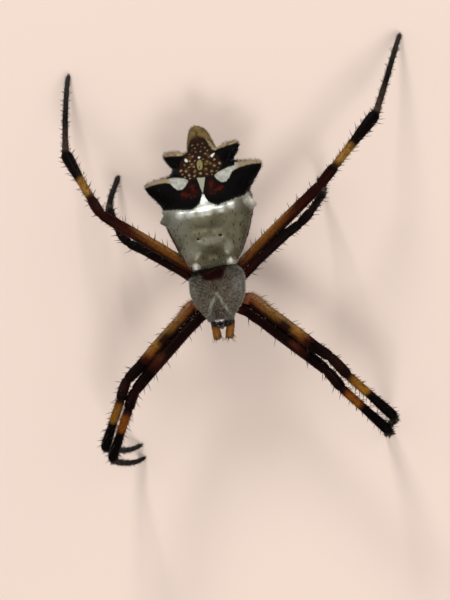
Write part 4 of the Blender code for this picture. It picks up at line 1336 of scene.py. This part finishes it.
backCoats = (
    # how many hairs, how dense they stand, lengths, seed, thickness, the turns and runs they grow
    # between, which finish they have and how steeply they rise
    (7000, backDensity, (0.1, 0.26), 9, 0.008, (0.0, 1.0), (0.01, 0.99), 0, (0.35, 0.75)),
    (1500, ridgeDensity, (0.14, 0.32), 10, 0.01, (0.02, 0.48), (0.36, 0.54), 0, (0.1, 0.4)),
    (900, flankDensity, (0.18, 0.36), 11, 0.011, (-0.12, 0.12), (0.46, 0.9), 1, (0.6, 1.2)),
    (900, flankDensity, (0.18, 0.36), 12, 0.011, (0.38, 0.62), (0.46, 0.9), 1, (0.6, 1.2)),
    (260, flankDensity, (0.14, 0.3), 13, 0.01, (-0.1, 0.6), (0.06, 0.46), 1, (0.6, 1.2)),
)
backHairs = []
for count, density, lengths, *others in backCoats:
    backHairs += skinHairs(abdomenPoint, count, density, lengths, backLie, *others)
backDown = downFinish("back down", backColours, (190, 188, 176), lambda silver: 0.03 + silver * 0.4)
hairCoat("backDown", backHairs, [backDown, spineFinish])


# the floor, the lights and the camera

stage = {
    "floor": (232, 214, 203), "floorSize": 3.0,
    # direction to the light, distance, size, watts, colour
    "lights": (((-0.08, 0.9, 0.5), 0.34, 0.09, 0.6, (1.0, 0.99, 0.97)),
               ((0.12, -0.62, 0.8), 0.36, 0.1, 0.45, (1.0, 0.99, 0.97)),
               ((1.0, 0.2, 0.9), 0.6, 0.4, 0.3, (1.0, 0.97, 0.95))),
    "middle": (0.0, 0.004, 0.006), "world": 0.62, "worldColour": (0.9, 0.86, 0.83, 1),
}
floorForm = bmesh.new()
bmesh.ops.create_grid(floorForm, x_segments=1, y_segments=1, size=stage["floorSize"] / 2)
floorMesh = bpy.data.meshes.new("floor")
floorForm.to_mesh(floorMesh)
floorForm.free()
floor = bpy.data.objects.new("floor", floorMesh)
scene.collection.objects.link(floor)
floorFinish = Finish("floor pale", roughness=0.9, specular=0.1)
floorFinish.shader.inputs["Base Color"].default_value = tint(*stage["floor"])
floorMesh.materials.append(floorFinish.material)

world = bpy.data.worlds.new("studio")
scene.world = world
world.use_nodes = True
background = world.node_tree.nodes["Background"].inputs
background["Color"].default_value = stage["worldColour"]
background["Strength"].default_value = stage["world"]

middle = Vector(stage["middle"])
for index, (way, distance, size, watts, colour) in enumerate(stage["lights"]):
    light = bpy.data.lights.new(f"softbox{index}", "AREA")
    light.size, light.energy, light.color = size, watts, colour
    lamp = bpy.data.objects.new(f"softbox{index}", light)
    lamp.location = middle + Vector(way).normalized() * distance
    lamp.rotation_euler = (lamp.location - middle).to_track_quat("Z", "Y").to_euler()
    scene.collection.objects.link(lamp)

view = {
    "lens": 118.14, "sensor": 36.0, "clip": (0.001, 20.0), "at": (23.42, -4.03, 152.88),
    # three axes at right angles, and how far the camera looks across and up from straight along them
    "right": (0.9803, -0.1130, -0.1622), "up": (0.1212, 0.9918, 0.0415),
    "back": (0.1561, -0.0603, 0.9859), "aside": (0.00472, -0.03575),
}
cameraData = bpy.data.cameras.new("camera")
cameraData.sensor_width, cameraData.lens = view["sensor"], view["lens"]
cameraData.clip_start, cameraData.clip_end = view["clip"]
camera = bpy.data.objects.new("camera", cameraData)
right, upward, back = (Vector(view[axis]) for axis in ("right", "up", "back"))
across, rise = view["aside"]
forward = (right * across + upward * rise - back).normalized()
up = (upward - forward * upward.dot(forward)).normalized()
turned = Matrix((forward.cross(up), up, -forward)).transposed()
camera.matrix_world = Matrix.Translation((bodyShift + Vector(view["at"])) * mm) @ turned.to_4x4()
scene.collection.objects.link(camera)
scene.camera = camera
